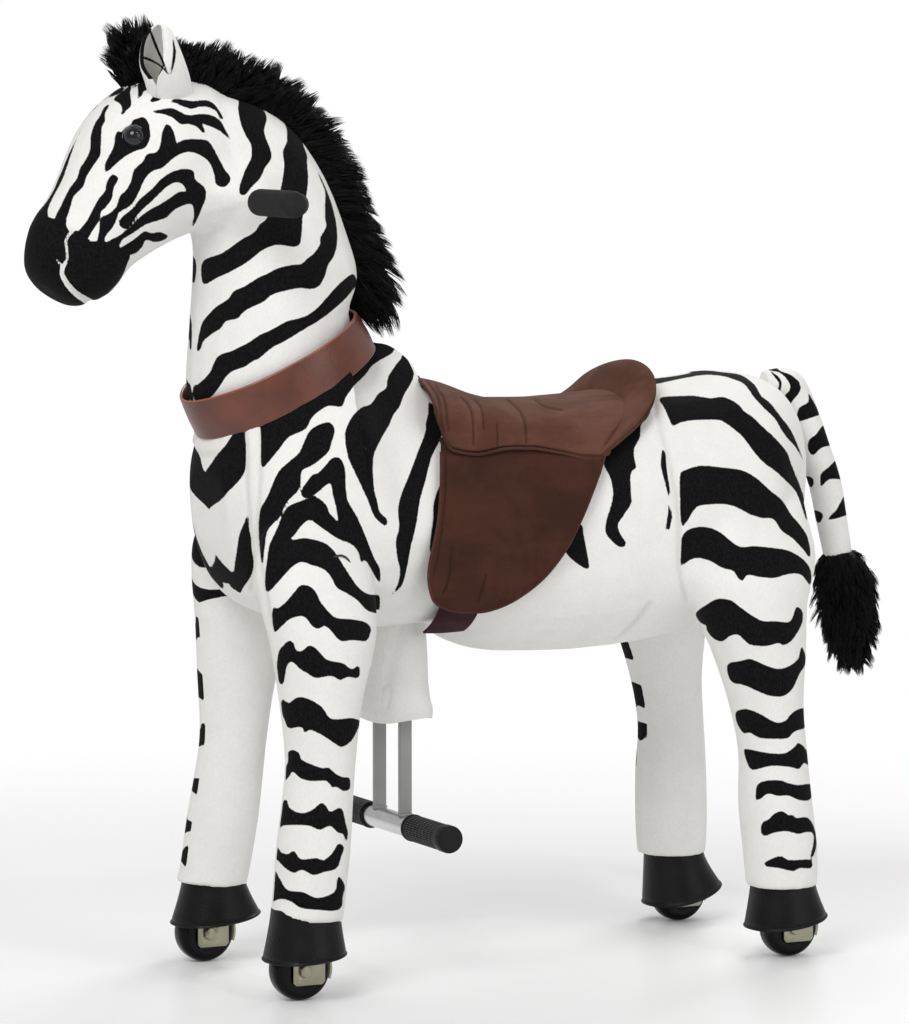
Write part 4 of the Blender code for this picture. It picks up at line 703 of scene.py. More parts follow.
RUMP_MARKS = [
    [(640, 378), (660, 376), (682, 374), (698, 370), (710, 370), (721, 372), (741, 375), (755, 385),
     (761, 396), (770, 403), (781, 417), (790, 429), (798, 446), (803, 460), (796, 448), (784, 434),
     (775, 419), (764, 408), (755, 398), (745, 385), (735, 380), (722, 376), (704, 375), (685, 378),
     (661, 383), (640, 386)],
    [(660, 398), (682, 396), (695, 396), (710, 398), (724, 397), (738, 404), (744, 411), (753, 417),
     (762, 426), (775, 438), (787, 452), (791, 463), (798, 481), (804, 498), (807, 521), (802, 508),
     (796, 492), (785, 480), (775, 471), (762, 461), (751, 448), (741, 435), (728, 425), (719, 420),
     (698, 420), (682, 422), (673, 426), (670, 421), (665, 409)],
    [(680, 475), (685, 470), (698, 466), (710, 466), (728, 468), (744, 471), (756, 478), (771, 491),
     (782, 500), (791, 514), (801, 526), (808, 538), (810, 557), (801, 547), (791, 537), (782, 531),
     (773, 519), (762, 518), (750, 514), (738, 508), (724, 504), (704, 505), (696, 508), (688, 520),
     (682, 527), (681, 525), (680, 498)],
    [(682, 537), (688, 530), (698, 527), (710, 528), (721, 533), (731, 541), (741, 547), (756, 546),
     (775, 548), (790, 551), (804, 560), (811, 571), (810, 585), (801, 575), (788, 574), (775, 578),
     (759, 577), (748, 575), (742, 581), (738, 578), (733, 571), (722, 568), (710, 561), (699, 558),
     (690, 560), (681, 566), (681, 551)],
    [(650, 398), (651, 409), (647, 418), (641, 425), (640, 437), (634, 449), (635, 461), (636, 468),
     (631, 474), (631, 495), (631, 503), (624, 515), (618, 525), (621, 535), (626, 543), (623, 547),
     (616, 545), (606, 534), (606, 521), (611, 505), (613, 491), (610, 477), (604, 465), (603, 446),
     (620, 425), (632, 404)],
    [(581, 524), (584, 537), (587, 552), (589, 567), (584, 568), (574, 561), (567, 554), (565, 548),
     (570, 530)],
    [(662, 451), (665, 452), (667, 471), (670, 491), (669, 497), (665, 483), (661, 466)],
    [(669, 505), (672, 514), (671, 523), (669, 530), (666, 530), (666, 526), (668, 514)],
    [(696, 613), (706, 605), (717, 599), (730, 600), (740, 607), (760, 620), (775, 621), (789, 622),
     (794, 613), (797, 607), (803, 612), (802, 624), (793, 639), (784, 645), (778, 643), (767, 646),
     (751, 645), (744, 640), (738, 635), (730, 636), (723, 641), (714, 639), (707, 631), (706, 626),
     (700, 622)],
    [(728, 664), (740, 661), (751, 659), (765, 665), (778, 669), (789, 666), (798, 659), (800, 652),
     (802, 647), (806, 657), (805, 665), (799, 675), (793, 688), (784, 696), (771, 696), (757, 691),
     (744, 685), (733, 683), (728, 675)],
    [(736, 712), (747, 709), (760, 714), (775, 722), (785, 721), (792, 713), (799, 709), (805, 709),
     (808, 719), (804, 728), (794, 732), (788, 738), (777, 739), (760, 738), (750, 733), (743, 733),
     (737, 723)],
    [(745, 749), (757, 751), (771, 753), (785, 753), (794, 747), (799, 743), (807, 751), (810, 766),
     (804, 763), (799, 769), (789, 767), (771, 766), (753, 770), (748, 764), (745, 755)],
    [(757, 786), (764, 781), (779, 780), (789, 783), (798, 785), (811, 784), (814, 791), (809, 800),
     (799, 800), (789, 796), (778, 796), (768, 794), (760, 799), (756, 799)],
    [(762, 823), (769, 819), (775, 813), (782, 811), (789, 815), (794, 814), (796, 818), (806, 817),
     (811, 821), (815, 830), (817, 840), (815, 852), (810, 860), (813, 844), (813, 834), (807, 832),
     (798, 834), (785, 831), (773, 833), (765, 836), (761, 832)],
    [(764, 864), (769, 860), (781, 856), (789, 860), (810, 860), (811, 868), (799, 868), (793, 871),
     (779, 868), (769, 867)],
]
TAIL_MARKS = [
    [(758, 366), (773, 366), (781, 371), (791, 375), (799, 382), (800, 391), (793, 400), (785, 411),
     (782, 406), (784, 397), (790, 389), (788, 381), (780, 373), (771, 371)],
    [(770, 371), (775, 378), (779, 384), (777, 394), (779, 402), (782, 406), (780, 394), (782, 383),
     (778, 376)],
    [(809, 394), (819, 413), (814, 417), (797, 422), (796, 419), (799, 408), (808, 402)],
    [(825, 425), (832, 443), (821, 448), (813, 455), (808, 449), (809, 440), (816, 434)],
    [(798, 447), (803, 451), (802, 460), (800, 458)],
    [(837, 461), (843, 478), (830, 479), (822, 486), (820, 483), (821, 474), (829, 467)],
    [(801, 477), (811, 477), (814, 482), (812, 487), (806, 490)],
    [(845, 496), (849, 513), (830, 520), (830, 516), (836, 510), (840, 503)],
    [(811, 510), (821, 512), (823, 517), (819, 523), (813, 521)],
]
CHEST_SEAMS = [
    [(243, 415, 2.2), (246, 450, 2.2), (246, 480, 2.2), (249, 520, 2.2), (253, 560, 2.2), (250, 590, 2.2)],
    [(261, 410, 2.2), (260, 470, 2.2), (258, 520, 2.2), (260, 560, 2.2), (266, 595, 2.2), (271, 625, 2.2)],
]
RUMP_SEAMS = [
    [(652, 395, 2.4), (664, 440, 2.4), (674, 480, 2.4), (680, 520, 2.4), (680, 570, 2.4), (686, 600, 2.4)],
    [(614, 640, 1.2), (634, 624, 2.2), (650, 603, 1.4)],
]

# Stuffed forms, in metres from the middle of the wheelbase: upper point, lower point, half width, middle's x
TORSO = [
    ((-0.3225, 0.515), (-0.3145, 0.44), 0.045), ((-0.3065, 0.56), (-0.2985, 0.396), 0.08),
    ((-0.276, 0.59), (-0.276, 0.374), 0.107), ((-0.236, 0.606), (-0.236, 0.36), 0.122),
    ((-0.185, 0.618), (-0.185, 0.352), 0.124), ((-0.145, 0.618), (-0.145, 0.349), 0.121),
    ((-0.115, 0.604), (-0.115, 0.35), 0.119), ((-0.092, 0.585), (-0.094, 0.35), 0.118),
    ((-0.072, 0.566), (-0.074, 0.342), 0.1175), ((-0.05, 0.556), (-0.05, 0.3275), 0.117),
    ((-0.028, 0.551), (-0.028, 0.3205), 0.117), ((0.0, 0.548), (0.0, 0.318), 0.117),
    ((0.06, 0.55), (0.06, 0.316), 0.117), ((0.09, 0.562), (0.09, 0.317), 0.1185),
    ((0.125, 0.578), (0.125, 0.319), 0.121), ((0.17, 0.586), (0.165, 0.324), 0.124),
    ((0.21, 0.59), (0.205, 0.334), 0.128), ((0.255, 0.595), (0.245, 0.35), 0.129),
    ((0.288, 0.59), (0.272, 0.368), 0.112), ((0.314, 0.574), (0.3, 0.388), 0.086),
    ((0.333, 0.545), (0.325, 0.412), 0.056), ((0.345, 0.505), (0.341, 0.445), 0.022),
]
FRONT_LEG = [
    ((-0.062, 0.468), (0.012, 0.468), 0.012, -0.022), ((-0.0739, 0.435), (0.0411, 0.435), 0.036, -0.018),
    ((-0.0695, 0.398), (0.0507, 0.396), 0.046, -0.012), ((-0.055, 0.35), (0.052, 0.35), 0.047, -0.005),
    ((-0.0417, 0.294), (0.0413, 0.294), 0.04, -0.001), ((-0.0307, 0.235), (0.0393, 0.235), 0.0345, 0.0),
    ((-0.0305, 0.195), (0.04, 0.195), 0.0345, 0.0), ((-0.0324, 0.146), (0.0416, 0.146), 0.036, 0.0),
    ((-0.0321, 0.1), (0.0404, 0.1), 0.0355, 0.0), ((-0.033, 0.082), (0.04, 0.076), 0.0355, 0.0),
]
REAR_LEG = [
    ((-0.0308, 0.478), (0.0694, 0.48), 0.012, -0.022), ((-0.0659, 0.446), (0.069, 0.45), 0.038, -0.018),
    ((-0.0783, 0.402), (0.07, 0.408), 0.05, -0.012), ((-0.0719, 0.365), (0.0511, 0.365), 0.053, -0.007),
    ((-0.0546, 0.318), (0.0444, 0.318), 0.047, -0.003), ((-0.0379, 0.264), (0.0396, 0.264), 0.038, 0.0),
    ((-0.032, 0.212), (0.039, 0.212), 0.035, 0.0), ((-0.0381, 0.161), (0.0384, 0.161), 0.0375, 0.0),
    ((-0.0402, 0.109), (0.0368, 0.109), 0.038, 0.0), ((-0.04, 0.0735), (0.0335, 0.0735), 0.036, 0.0),
]
COLLAR_Y, COLLAR_Z, COLLAR_LEAN, COLLAR_HEIGHT = -0.2425, 0.608, math.radians(26.5), 0.043


def collar_point(back, up):
    """(y, z) from the collar's middle: back along its rim's plane, up along the steering column."""
    sin, cos = math.sin(COLLAR_LEAN), math.cos(COLLAR_LEAN)
    return COLLAR_Y + back * cos - up * sin, COLLAR_Z + back * sin + up * cos


WITHERS = [
    (collar_point(0.086, 0.002), collar_point(-0.090, 0.002), 0.077),
    (collar_point(0.1040, -0.0225), collar_point(-0.1020, -0.0225), 0.090),
    (collar_point(0.1165, -0.0310), collar_point(-0.108, -0.0310), 0.0965),
    ((-0.1070, 0.6180), (-0.3070, 0.5120), 0.099), ((-0.098, 0.590), (-0.3000, 0.4700), 0.099),
    ((-0.110, 0.540), (-0.290, 0.440), 0.090),
]
HANDLE = (collar_point(0.022, 0.180)[0] - 0.0045, collar_point(0.022, 0.180)[1])
NECK = [
    (collar_point(0.087, -0.012), collar_point(-0.0925, -0.012), 0.0780),
    (collar_point(0.0895, 0.024), collar_point(-0.0920, 0.024), 0.0772),
    ((-0.163, 0.705), (-0.3330, 0.643), 0.079), ((-0.174, 0.745), (-0.3290, 0.700), 0.074),
    ((-0.197, 0.800), (-0.328, 0.752), 0.069), ((-0.232, 0.848), (-0.334, 0.785), 0.063),
    ((-0.276, 0.875), (-0.345, 0.800), 0.058), ((-0.318, 0.886), (-0.356, 0.812), 0.050),
]
HEAD = [
    ((-0.292, 0.872), (-0.282, 0.806), 0.03), ((-0.328, 0.896), (-0.298, 0.768), 0.054),
    ((-0.382, 0.899), (-0.318, 0.752), 0.066), ((-0.42, 0.881), (-0.334, 0.748), 0.069),
    ((-0.452, 0.847), (-0.366, 0.736), 0.063), ((-0.478, 0.791), (-0.404, 0.714), 0.052),
    ((-0.501, 0.757), (-0.424, 0.69), 0.049), ((-0.507, 0.722), (-0.458, 0.677), 0.04),
    ((-0.5, 0.703), (-0.478, 0.684), 0.02),
]
TAIL = [
    ((0.31, 0.593), (0.31, 0.568), 0.012), ((0.334, 0.5955), (0.326, 0.563), 0.017),
    ((0.3545, 0.5865), (0.333, 0.55), 0.019), ((0.372, 0.553), (0.342, 0.533), 0.0185),
    ((0.388, 0.513), (0.356, 0.5), 0.0175), ((0.401, 0.478), (0.368, 0.468), 0.017),
    ((0.4085, 0.44), (0.376, 0.434), 0.0165), ((0.416, 0.399), (0.386, 0.393), 0.015),
]

# How far the stuffing has settled a leg forwards or backwards, at rising heights
SETTLED = {
    "front_left": ((0.1, 0.0), (0.4, 0.0)),
    "front_right": (
        (0.08, 0.0), (0.1, 0.003), (0.146, 0.006), (0.195, 0.009), (0.294, 0.0135), (0.35, 0.018),
        (0.4, 0.021),
    ),
    "rear_left": (
        (0.12, 0.0), (0.161, -0.003), (0.212, -0.0045), (0.264, -0.005), (0.318, -0.001), (0.35, 0.0),
    ),
    "rear_right": ((0.08, 0.0), (0.161, 0.004), (0.264, 0.007), (0.318, 0.010), (0.4, 0.011)),
}
# How far back a leg's tube runs for each metre down
FRONT_RUN = (FRONT_AXLE_Y - SHOULDER_Y) / (HIP_Z - WHEEL_RADIUS)
REAR_RUN = (REAR_AXLE_Y - HIP_Y) / (HIP_Z - WHEEL_RADIUS)


def leg(name, stations, top_y, run, sign):
    """A leg's skin, set round the line of its tube."""
    settled_by = np.array(SETTLED[name]).T
    rows = []
    for (front, z0), (rear, z1), width, x in stations:
        middle = top_y + np.interp(z0, *settled_by)
        upper, lower = (front + middle + run * (HIP_Z - z0), z0), (rear + middle + run * (HIP_Z - z1), z1)
        rows.append((upper, lower, width, sign * (WHEEL_X + x)))
    return stuffed(name, rows)


# Under the seat's back, by the distance from the middle plane: the rump's height, and where the back ends
BEHIND_SEAT = ((0.0, 0.572), (0.05, 0.568), (0.07, 0.561), (0.082, 0.553), (0.09, 0.542), (0.096, 0.526))
BACK_ROLL = ((0.0, 0.156), (0.036, 0.146), (0.062, 0.126), (0.078, 0.108), (0.09, 0.094), (0.098, 0.079))


def pressed_by_saddle(skin):
    """Pushes the barrel in under the flaps, and down under the seat and its back."""
    nowhere, soft = 9.0, 0.004
    points = points_of(skin)
    wide, y, z = np.abs(points[:, 0]), points[:, 1], points[:, 2]
    inside = np.minimum(flap_face(np.maximum(z, 0.36)), flap_face(z + 0.014)) - 0.0055
    inside += 0.016 * ease(-0.150, -0.200, y) + 0.020 * ease(0.060, 0.110, y)
    inside = np.where(z < 0.345, nowhere, inside)
    over = wide - inside + soft
    limit = np.where(over > 0.0, inside - soft + soft * np.tanh(over / soft), wide)
    points[:, 0] = np.sign(points[:, 0]) * np.where((y > -0.2) & (y < 0.115), limit, wide)
    wide = np.abs(points[:, 0])
    lip = y - row(LIP_BACK, wide)[0] * ease(-0.045, -0.114, y)
    crown, width, edge = row(SEAT_ROWS, y)
    arch = np.sqrt(np.maximum(1.0 - (wide / width) ** 2, 0.0)) ** 0.82
    top = edge + (crown - edge) * arch - 0.0125 * (0.4 + 0.6 * ease(SEAT_FRONT, -0.100, lip))
    under_seat = (lip > SEAT_FRONT) & (y < 0.075 + row(REAR_BACK, wide)[0])
    behind, = row(BEHIND_SEAT, wide)
    back, = row(BACK_ROLL, wide)
    ceiling = np.where(under_seat, top, np.where((y >= 0.07) & (y < back), behind, nowhere))
    points[:, 2] = np.where(z > 0.48, np.minimum(z, np.maximum(ceiling, 0.50)), z)
    reshaped(skin, points)


def clear_of_saddle(points):
    """1 on the chest and on the rump, 0 between them."""
    return np.maximum(ease(-0.19, -0.215, points[:, 1]), ease(0.09, 0.11, points[:, 1]))


def body_skins():
    """The barrel and legs in one skin, cut in two where the halves of the frame part."""
    parts = [stuffed("barrel", TORSO, 32, 2.5), stuffed("withers", WITHERS, 28, 2.2)]
    for word, sign in SIDES:
        parts.append(leg(f"front_{word}", FRONT_LEG, SHOULDER_Y, FRONT_RUN, sign))
        parts.append(leg(f"rear_{word}", REAR_LEG, HIP_Y, REAR_RUN, sign))
    whole = one_skin("body", parts, voxel=0.0032, rounds=9)
    pressed_by_saddle(whole)
    creased(whole, CHEST_SEAMS + RUMP_SEAMS, depth=0.0020, where=clear_of_saddle)
    points = points_of(whole)
    wide, height, front = np.abs(points[:, 0]), points[:, 2], points[:, 1] < 0.0
    inner = np.where(front, 0.112 * ease(0.402, 0.362, height), 0.108 * ease(0.375, 0.335, height))
    plain = np.where(inner > 0.001, (wide - inner) / PIXEL, -NO_MARK)
    marked(whole, CHEST_MARKS + RUMP_MARKS, plain=plain)
    for end, bulk, near, far in (("front", "chest", -0.085, -0.150), ("rear", "rump", 0.045, 0.145)):
        keep_front = end == "front"
        only(whole)
        bpy.ops.object.duplicate()
        half = called(f"{end}_body")
        bpy.ops.object.mode_set(mode="EDIT")
        bpy.ops.mesh.select_all(action="SELECT")
        bpy.ops.mesh.bisect(
            plane_co=(0.0, 0.0, 0.0), plane_no=(0.0, 1.0, 0.0), use_fill=True,
            clear_outer=keep_front, clear_inner=not keep_front,
        )
        bpy.ops.object.mode_set(mode="OBJECT")
        bpy.ops.object.shade_smooth_by_angle(angle=math.radians(65.0))
        shown(
            half, PLUSH,
            ("saddle_frame", f"{end}_frame", (0.0, WHEELS_Y + near, 0.45), (0.0, WHEELS_Y + far, 0.45)),
            f"{bulk}_plush", f"{end}_leg_plush_left", f"{end}_leg_plush_right", slot="white_plush", fill=0.9,
        )
    bpy.data.objects.remove(whole)


def head_skin():
    """The head and neck in one skin, with a swelling where the handlebar comes out."""
    skin = one_skin("head_and_neck", [stuffed("neck", NECK), stuffed("skull", HEAD)], voxel=0.0026, rounds=10)
    points = points_of(skin)
    x = points[:, 0].copy()
    from_bar = np.hypot(points[:, 1] - HANDLE[0], points[:, 2] - HANDLE[1])
    swell = 0.046 * np.exp(-((from_bar / 0.027) ** 2)) * ease(0.010, 0.034, np.abs(x))
    points[:, 0] = x + np.sign(x) * swell
    reshaped(skin, points)
    creased(skin, MUZZLE_SEAM, depth=0.0022)
    marked(skin, FACE + NECK_MARKS, MUZZLE_SEAM)
    shown(skin, PLUSH, "head", "neck_plush", "head_plush", slot="white_plush", fill=0.9)


def tail_skin():
    skin = one_skin("tail", [stuffed("tail", TAIL, 20)], voxel=0.0018, rounds=4)
    marked(skin, TAIL_MARKS)
    shown(skin, PLUSH, "rear_frame", "tail_plush", slot="white_plush", fill=0.8)


def sewn(name, points, faces):
    """A padded piece's smooth mesh, from its points and faces."""
    mesh = bpy.data.meshes.new(name)
    mesh.from_pydata(points.reshape(-1, 3).tolist(), [], faces)
    piece = added(name, mesh)
    only(piece)
    bpy.ops.object.mode_set(mode="EDIT")
    outwards()
    bpy.ops.object.shade_smooth()
    return piece


def lofted(name, rings):
    """A skin over rings of points, closed at both ends."""
    rings = np.asarray(rings, float)
    count, around = rings.shape[:2]
    faces = [
        (here + j, here + (j + 1) % around, here + around + (j + 1) % around, here + around + j)
        for here in range(0, (count - 1) * around, around) for j in range(around)
    ]
    faces += [
        (first + j, first + j + 1, first + around - 2 - j, first + around - 1 - j)
        for first in (0, (count - 1) * around) for j in range(around // 2 - 1)
    ]
    return sewn(name, rings, faces)


def drawn(name, rings):
    """A piece drawn out of a disc, ring of points by ring of points, and so closed at both ends."""
    piece = disc(name, len(rings[0]))
    for i, ring in enumerate(rings):
        if i:
            bpy.ops.mesh.extrude_region_move()
        bm = bmesh.from_edit_mesh(piece.data)
        chosen = [corner for corner in bm.verts if corner.select]
        here = np.array([corner.co for corner in chosen])
        order = ((here[:, None] - rings[i - 1]) ** 2).sum(2).argmin(1) if i else range(len(chosen))
        for corner, j in zip(chosen, order):
            corner.co = ring[j]
        bmesh.update_edit_mesh(piece.data)
    outwards()
    bpy.ops.object.shade_smooth_by_angle(angle=math.radians(50.0))
    return piece


def turned(name, centre, axis, rings, corners):
    """A round piece drawn out along an axis. A ring is its distance along it and its radius."""
    centre, axis = Vector(centre), Vector(axis)
    at, radius = rings[0]
    bpy.ops.object.select_all(action="DESELECT")
    bpy.ops.mesh.primitive_circle_add(
        vertices=corners, radius=radius, fill_type="NGON", location=centre + axis * at, rotation=facing(axis),
    )
    piece = settled(called(name))
    bpy.ops.object.mode_set(mode="EDIT")
    bpy.ops.mesh.select_all(action="SELECT")
    for next_at, next_radius in rings[1:]:
        bpy.ops.mesh.extrude_region_move(TRANSFORM_OT_translate={"value": axis * (next_at - at)})
        share = next_radius / radius
        bpy.ops.transform.resize(value=(share, share, share), center_override=centre + axis * next_at)
        at, radius = next_at, next_radius
    outwards()
    bpy.ops.object.shade_smooth_by_angle(angle=math.radians(38.0))
    return piece


def tube(name, path, radius):
    """A round cord along a path."""
    curve = bpy.data.curves.new(name, "CURVE")
    curve.dimensions = "3D"
    curve.bevel_depth = radius
    curve.bevel_resolution = 3
    curve.use_fill_caps = True
    spline = curve.splines.new("POLY")
    spline.points.add(len(path) - 1)
    spline.points.foreach_set("co", np.hstack([path, np.ones((len(path), 1))]).ravel())
    only(added(name, curve))
    bpy.ops.object.convert(target="MESH")
    bpy.ops.object.shade_smooth()
    return called(name)


def joined(name, *parts):
    only(*parts)
    bpy.ops.object.join()
    return called(name)


def row(table, value):
    """Numbers from a table of rows, at a value between those in its first column."""
    table = np.asarray(table)
    return [np.interp(value, table[:, 0], table[:, k]) for k in range(1, table.shape[1])]


def oval(front, rear, width, x, count, fullness):
    """Places round a lying oval: its x and y at every step, from the front."""
    turn = 2.0 * math.pi * np.arange(count) / count
    cos, sin = np.cos(turn), np.sin(turn)
    along = np.sign(cos) * np.abs(cos) ** (2.0 / fullness)
    across = np.sign(sin) * np.abs(sin) ** (2.0 / fullness)
    return x + width * across, (front + rear) / 2.0 - (rear - front) / 2.0 * along


# Saddle
SEAT_FRONT = -0.1165
SEAT_ROWS = smoothed([  # y, crown z, half width, z of the lower edge
    (-0.1165, 0.5990, 0.100, 0.566), (-0.1132, 0.5990, 0.103, 0.5543), (-0.1068, 0.5988, 0.1065, 0.5366),
    (-0.0950, 0.5985, 0.108, 0.5313), (-0.0730, 0.5940, 0.1085, 0.5285), (-0.0453, 0.5835, 0.1085, 0.5330),
    (-0.0192, 0.5765, 0.1085, 0.5325), (-0.0064, 0.5750, 0.1085, 0.5312), (0.0387, 0.5740, 0.1090, 0.5226),
    (0.0675, 0.5752, 0.109, 0.5195), (0.0900, 0.5765, 0.108, 0.5215), (0.1180, 0.5790, 0.105, 0.5270),
], 8)
LIP_BACK = ((0.0, 0.0258), (0.02, 0.0195), (0.05, 0.0085), (0.075, 0.003), (0.09, 0.001), (0.11, 0.0))
REAR_BACK = ((0.0, 0.045), (0.055, 0.039), (0.08, 0.028), (0.097, 0.010), (0.105, -0.008), (0.11, -0.018))
SEAT_PLEATS = [
    [(461, 397, 1.0), (468, 404, 1.3), (473, 418, 1.3), (474, 444, 1.0)],
    [(475, 399, 0.9), (482, 410, 1.2), (484, 428, 0.9)],
    [(497, 424, 0.8), (498, 434, 1.0), (498, 446, 1.0)],
    [(507, 399, 1.0), (519, 410, 1.4), (525, 424, 1.4), (527, 442, 1.1)],
    [(535, 399, 0.8), (544, 406, 1.1), (562, 410, 0.8)],
    [(427, 381, 1.2), (437, 395, 1.6), (441, 412, 1.6), (443, 430, 1.2)],
    [(436, 386, 1.0), (444, 399, 1.4), (447, 415, 1.4), (449, 430, 0.9)],
]


def seat_place(y, across, thinner=0.0):
    """The seat's surface at a row's y: across runs from 0 to pi over the arch."""
    _, width, _ = row(SEAT_ROWS, y)
    x = (width - thinner * 0.6) * np.cos(across)
    front_share, rear_share = ease(-0.045, -0.114, y), ease(0.015, 0.072, y)
    back = row(LIP_BACK, np.abs(x))[0] * front_share + row(REAR_BACK, np.abs(x))[0] * rear_share
    crown, _, _ = row(SEAT_ROWS, y + back)
    _, _, edge = row(SEAT_ROWS, y)
    height = edge + (crown - edge) * np.sin(across) ** 0.82 - thinner * np.sin(across)
    return np.stack([x, y + back, height], axis=-1)


def seat():
    across = np.linspace(0.0, math.pi, 57)
    rings = []
    for y in np.linspace(SEAT_FRONT, 0.078, 104):
        thick = 0.012 * (0.25 + 0.75 * ease(SEAT_FRONT, -0.108, y))
        rings.append(np.vstack([seat_place(y, across), seat_place(y, across, thick)[::-1]]))
    cushion = lofted("seat_cushion", rings)
    refined(cushion)
    creased(cushion, SEAT_PLEATS, depth=0.0016)
    shown(cushion, SEAT_SUEDE, "saddle_frame", "saddle_seat", slot="brown_suede", fill=0.6)
    rim = [seat_place(y, 0.0) + [0.0008, 0.0, -0.0012] for y in np.linspace(SEAT_FRONT, 0.0765, 60)]
    lip = [seat_place(-0.1168, t) + [0.0, -0.0012, 0.0008] for t in np.linspace(0.0, math.pi, 60)[1:-1]]
    path = rim[::-1] + lip + [p * [-1.0, 1.0, 1.0] for p in rim]
    cord = tube("seat_piping", np.array(path), radius=0.0017)
    shown(cord, PIPING_SUEDE, "saddle_frame", slot="brown_suede")


CANTLE_GUIDES = [  # rows from the side's lower end to the middle of the back, for each line along the roll
    [(0.105, 0.058, 0.522), (0.103, 0.072, 0.534), (0.095, 0.088, 0.549), (0.078, 0.1, 0.56),
     (0.053, 0.11, 0.566), (0.027, 0.115, 0.568), (0.0, 0.116, 0.569)],
    [(0.108, 0.059, 0.522), (0.1085, 0.078, 0.538), (0.104, 0.101, 0.556), (0.091, 0.122, 0.571),
     (0.069, 0.131, 0.585), (0.036, 0.135, 0.594), (0.0, 0.136, 0.597)],
    [(0.1085, 0.061, 0.522), (0.1075, 0.083, 0.539), (0.103, 0.108, 0.557), (0.092, 0.13, 0.575),
     (0.074, 0.141, 0.592), (0.041, 0.149, 0.604), (0.0, 0.152, 0.609)],
    [(0.1065, 0.061, 0.5195), (0.1055, 0.0825, 0.5345), (0.1, 0.107, 0.55), (0.091, 0.127, 0.568),
     (0.076, 0.139, 0.586), (0.043, 0.151, 0.599), (0.0, 0.156, 0.604)],
    [(0.102, 0.06, 0.518), (0.0985, 0.08, 0.526), (0.092, 0.099, 0.537), (0.081, 0.117, 0.55),
     (0.065, 0.133, 0.565), (0.037, 0.149, 0.577), (0.0, 0.157, 0.581)],
    [(0.096, 0.06, 0.518), (0.09, 0.08, 0.528), (0.082, 0.097, 0.538), (0.07, 0.112, 0.548),
     (0.05, 0.126, 0.557), (0.025, 0.138, 0.562), (0.0, 0.142, 0.563)],
]


def mirrored(half):
    """A whole row of points from the half that ends on the middle plane."""
    return np.vstack([half, half[-2::-1] * [-1.0, 1.0, 1.0]])


def cantle():
    lines = np.array([smoothed(mirrored(np.array(guide)), 6) for guide in CANTLE_GUIDES])
    rings = [smoothed(lines[:, i], 5, closed=True) for i in range(lines.shape[1])]
    roll = lofted("saddle_back", rings)
    refined(roll)
    shown(roll, SEAT_SUEDE, "saddle_frame", "saddle_cantle", slot="brown_suede", fill=0.8)
    rim = lines[3] + [0.0, 0.0012, 0.0]
    shown(tube("back_piping", rim, radius=0.0018), PIPING_SUEDE, "saddle_frame", slot="brown_suede")


FLAP_OUTLINE = [  # y, z
    (-0.106, 0.545), (-0.1111, 0.5366), (-0.1145, 0.5235), (-0.1175, 0.5092), (-0.1222, 0.4852),
    (-0.1272, 0.4609), (-0.133, 0.4386), (-0.1366, 0.422), (-0.1374, 0.4072), (-0.134, 0.3921),
    (-0.1285, 0.383), (-0.114, 0.3758), (-0.0954, 0.3727), (-0.07, 0.3729), (-0.0406, 0.3826),
    (-0.01, 0.403), (0.014, 0.4301), (0.0305, 0.4574), (0.047, 0.4863), (0.0615, 0.511), (0.067, 0.524),
    (0.056, 0.536), (0.01, 0.544), (-0.05, 0.546),
]
FLAP_PIPING_TOP = 0.5305
FLAP_FOLDS = [
    [(446, 455, 0.9), (445, 500, 1.0), (439, 550, 1.0), (434, 575, 0.8)],
    [(453, 546, 0.9), (451, 562, 1.3), (449, 580, 1.2), (443, 594, 0.8)],
    [(486, 575, 0.8), (483, 588, 1.3), (478, 603, 0.9)],
]


def flap_face(z):
    """How far out the flap's outer face lies, which is most at one height."""
    widest_z = 0.440
    high = 0.1280 - 0.0230 * (np.maximum(z - widest_z, 0.0) / 0.09) ** 2
    return high - 0.0035 * (np.maximum(widest_z - z, 0.0) / 0.066) ** 2


def saddle_flap(word, sign):
    edge = smoothed(FLAP_OUTLINE, 6, closed=True)
    middle = np.array([-0.045, 0.465])

    def face(share, out):
        spots = middle + (edge - middle) * share
        x = flap_face(spots[:, 1]) - 0.0028 + out
        return np.column_stack([sign * x, spots])

    shares = [*np.linspace(0.02, 0.94, 24), 0.96, 0.985, 0.997]
    outer = [face(s, 0.0010 + 0.0030 * math.sqrt(1.0 - s**6)) for s in shares]
    inner = [face(s, -0.0012) for s in shares[::-1]]
    leaf = lofted(f"flap_{word}", outer + [face(1.0, 0.0)] + inner)
    refined(leaf)
    creased(leaf, FLAP_FOLDS, depth=0.0010)
    shown(leaf, FLAP_SUEDE, "saddle_frame", f"saddle_flap_{word}", slot="brown_suede", fill=0.3)
    low = edge[edge[:, 1] < FLAP_PIPING_TOP]
    path = np.column_stack([sign * (flap_face(low[:, 1]) - 0.0022), low])
    shown(tube(f"flap_piping_{word}", path, radius=0.0014), PIPING_SUEDE, "saddle_frame", slot="brown_suede")


def girth(word, sign):
    """A flat strap round the barrel's section, from under the flap to beneath the belly."""
    front, rear, count = -0.1120, -0.0670, 9
    rings = []
    for turn in np.radians(np.linspace(4.0, 66.0, 34)):
        ring = []
        for start, end, thick in ((front, rear, 0.0022), (rear, front, 0.0002)):
            x = (0.1205 + thick) * math.cos(turn) ** 0.8
            z = 0.4675 - (0.1285 + thick) * math.sin(turn) ** 0.8
            swell = thick * 0.3 * np.sin(np.linspace(0.0, math.pi, count))
            ring.append(np.column_stack([sign * (x + swell), np.linspace(start, end, count), z - swell]))
        rings.append(np.vstack(ring))
    strap = drawn(f"girth_{word}", rings)
    shown(strap, MAROON_WEB, "saddle_frame", f"girth_strap_{word}", slot="maroon_web")


body_skins()
head_skin()
tail_skin()
seat()
cantle()
both_sides(saddle_flap)
both_sides(girth)


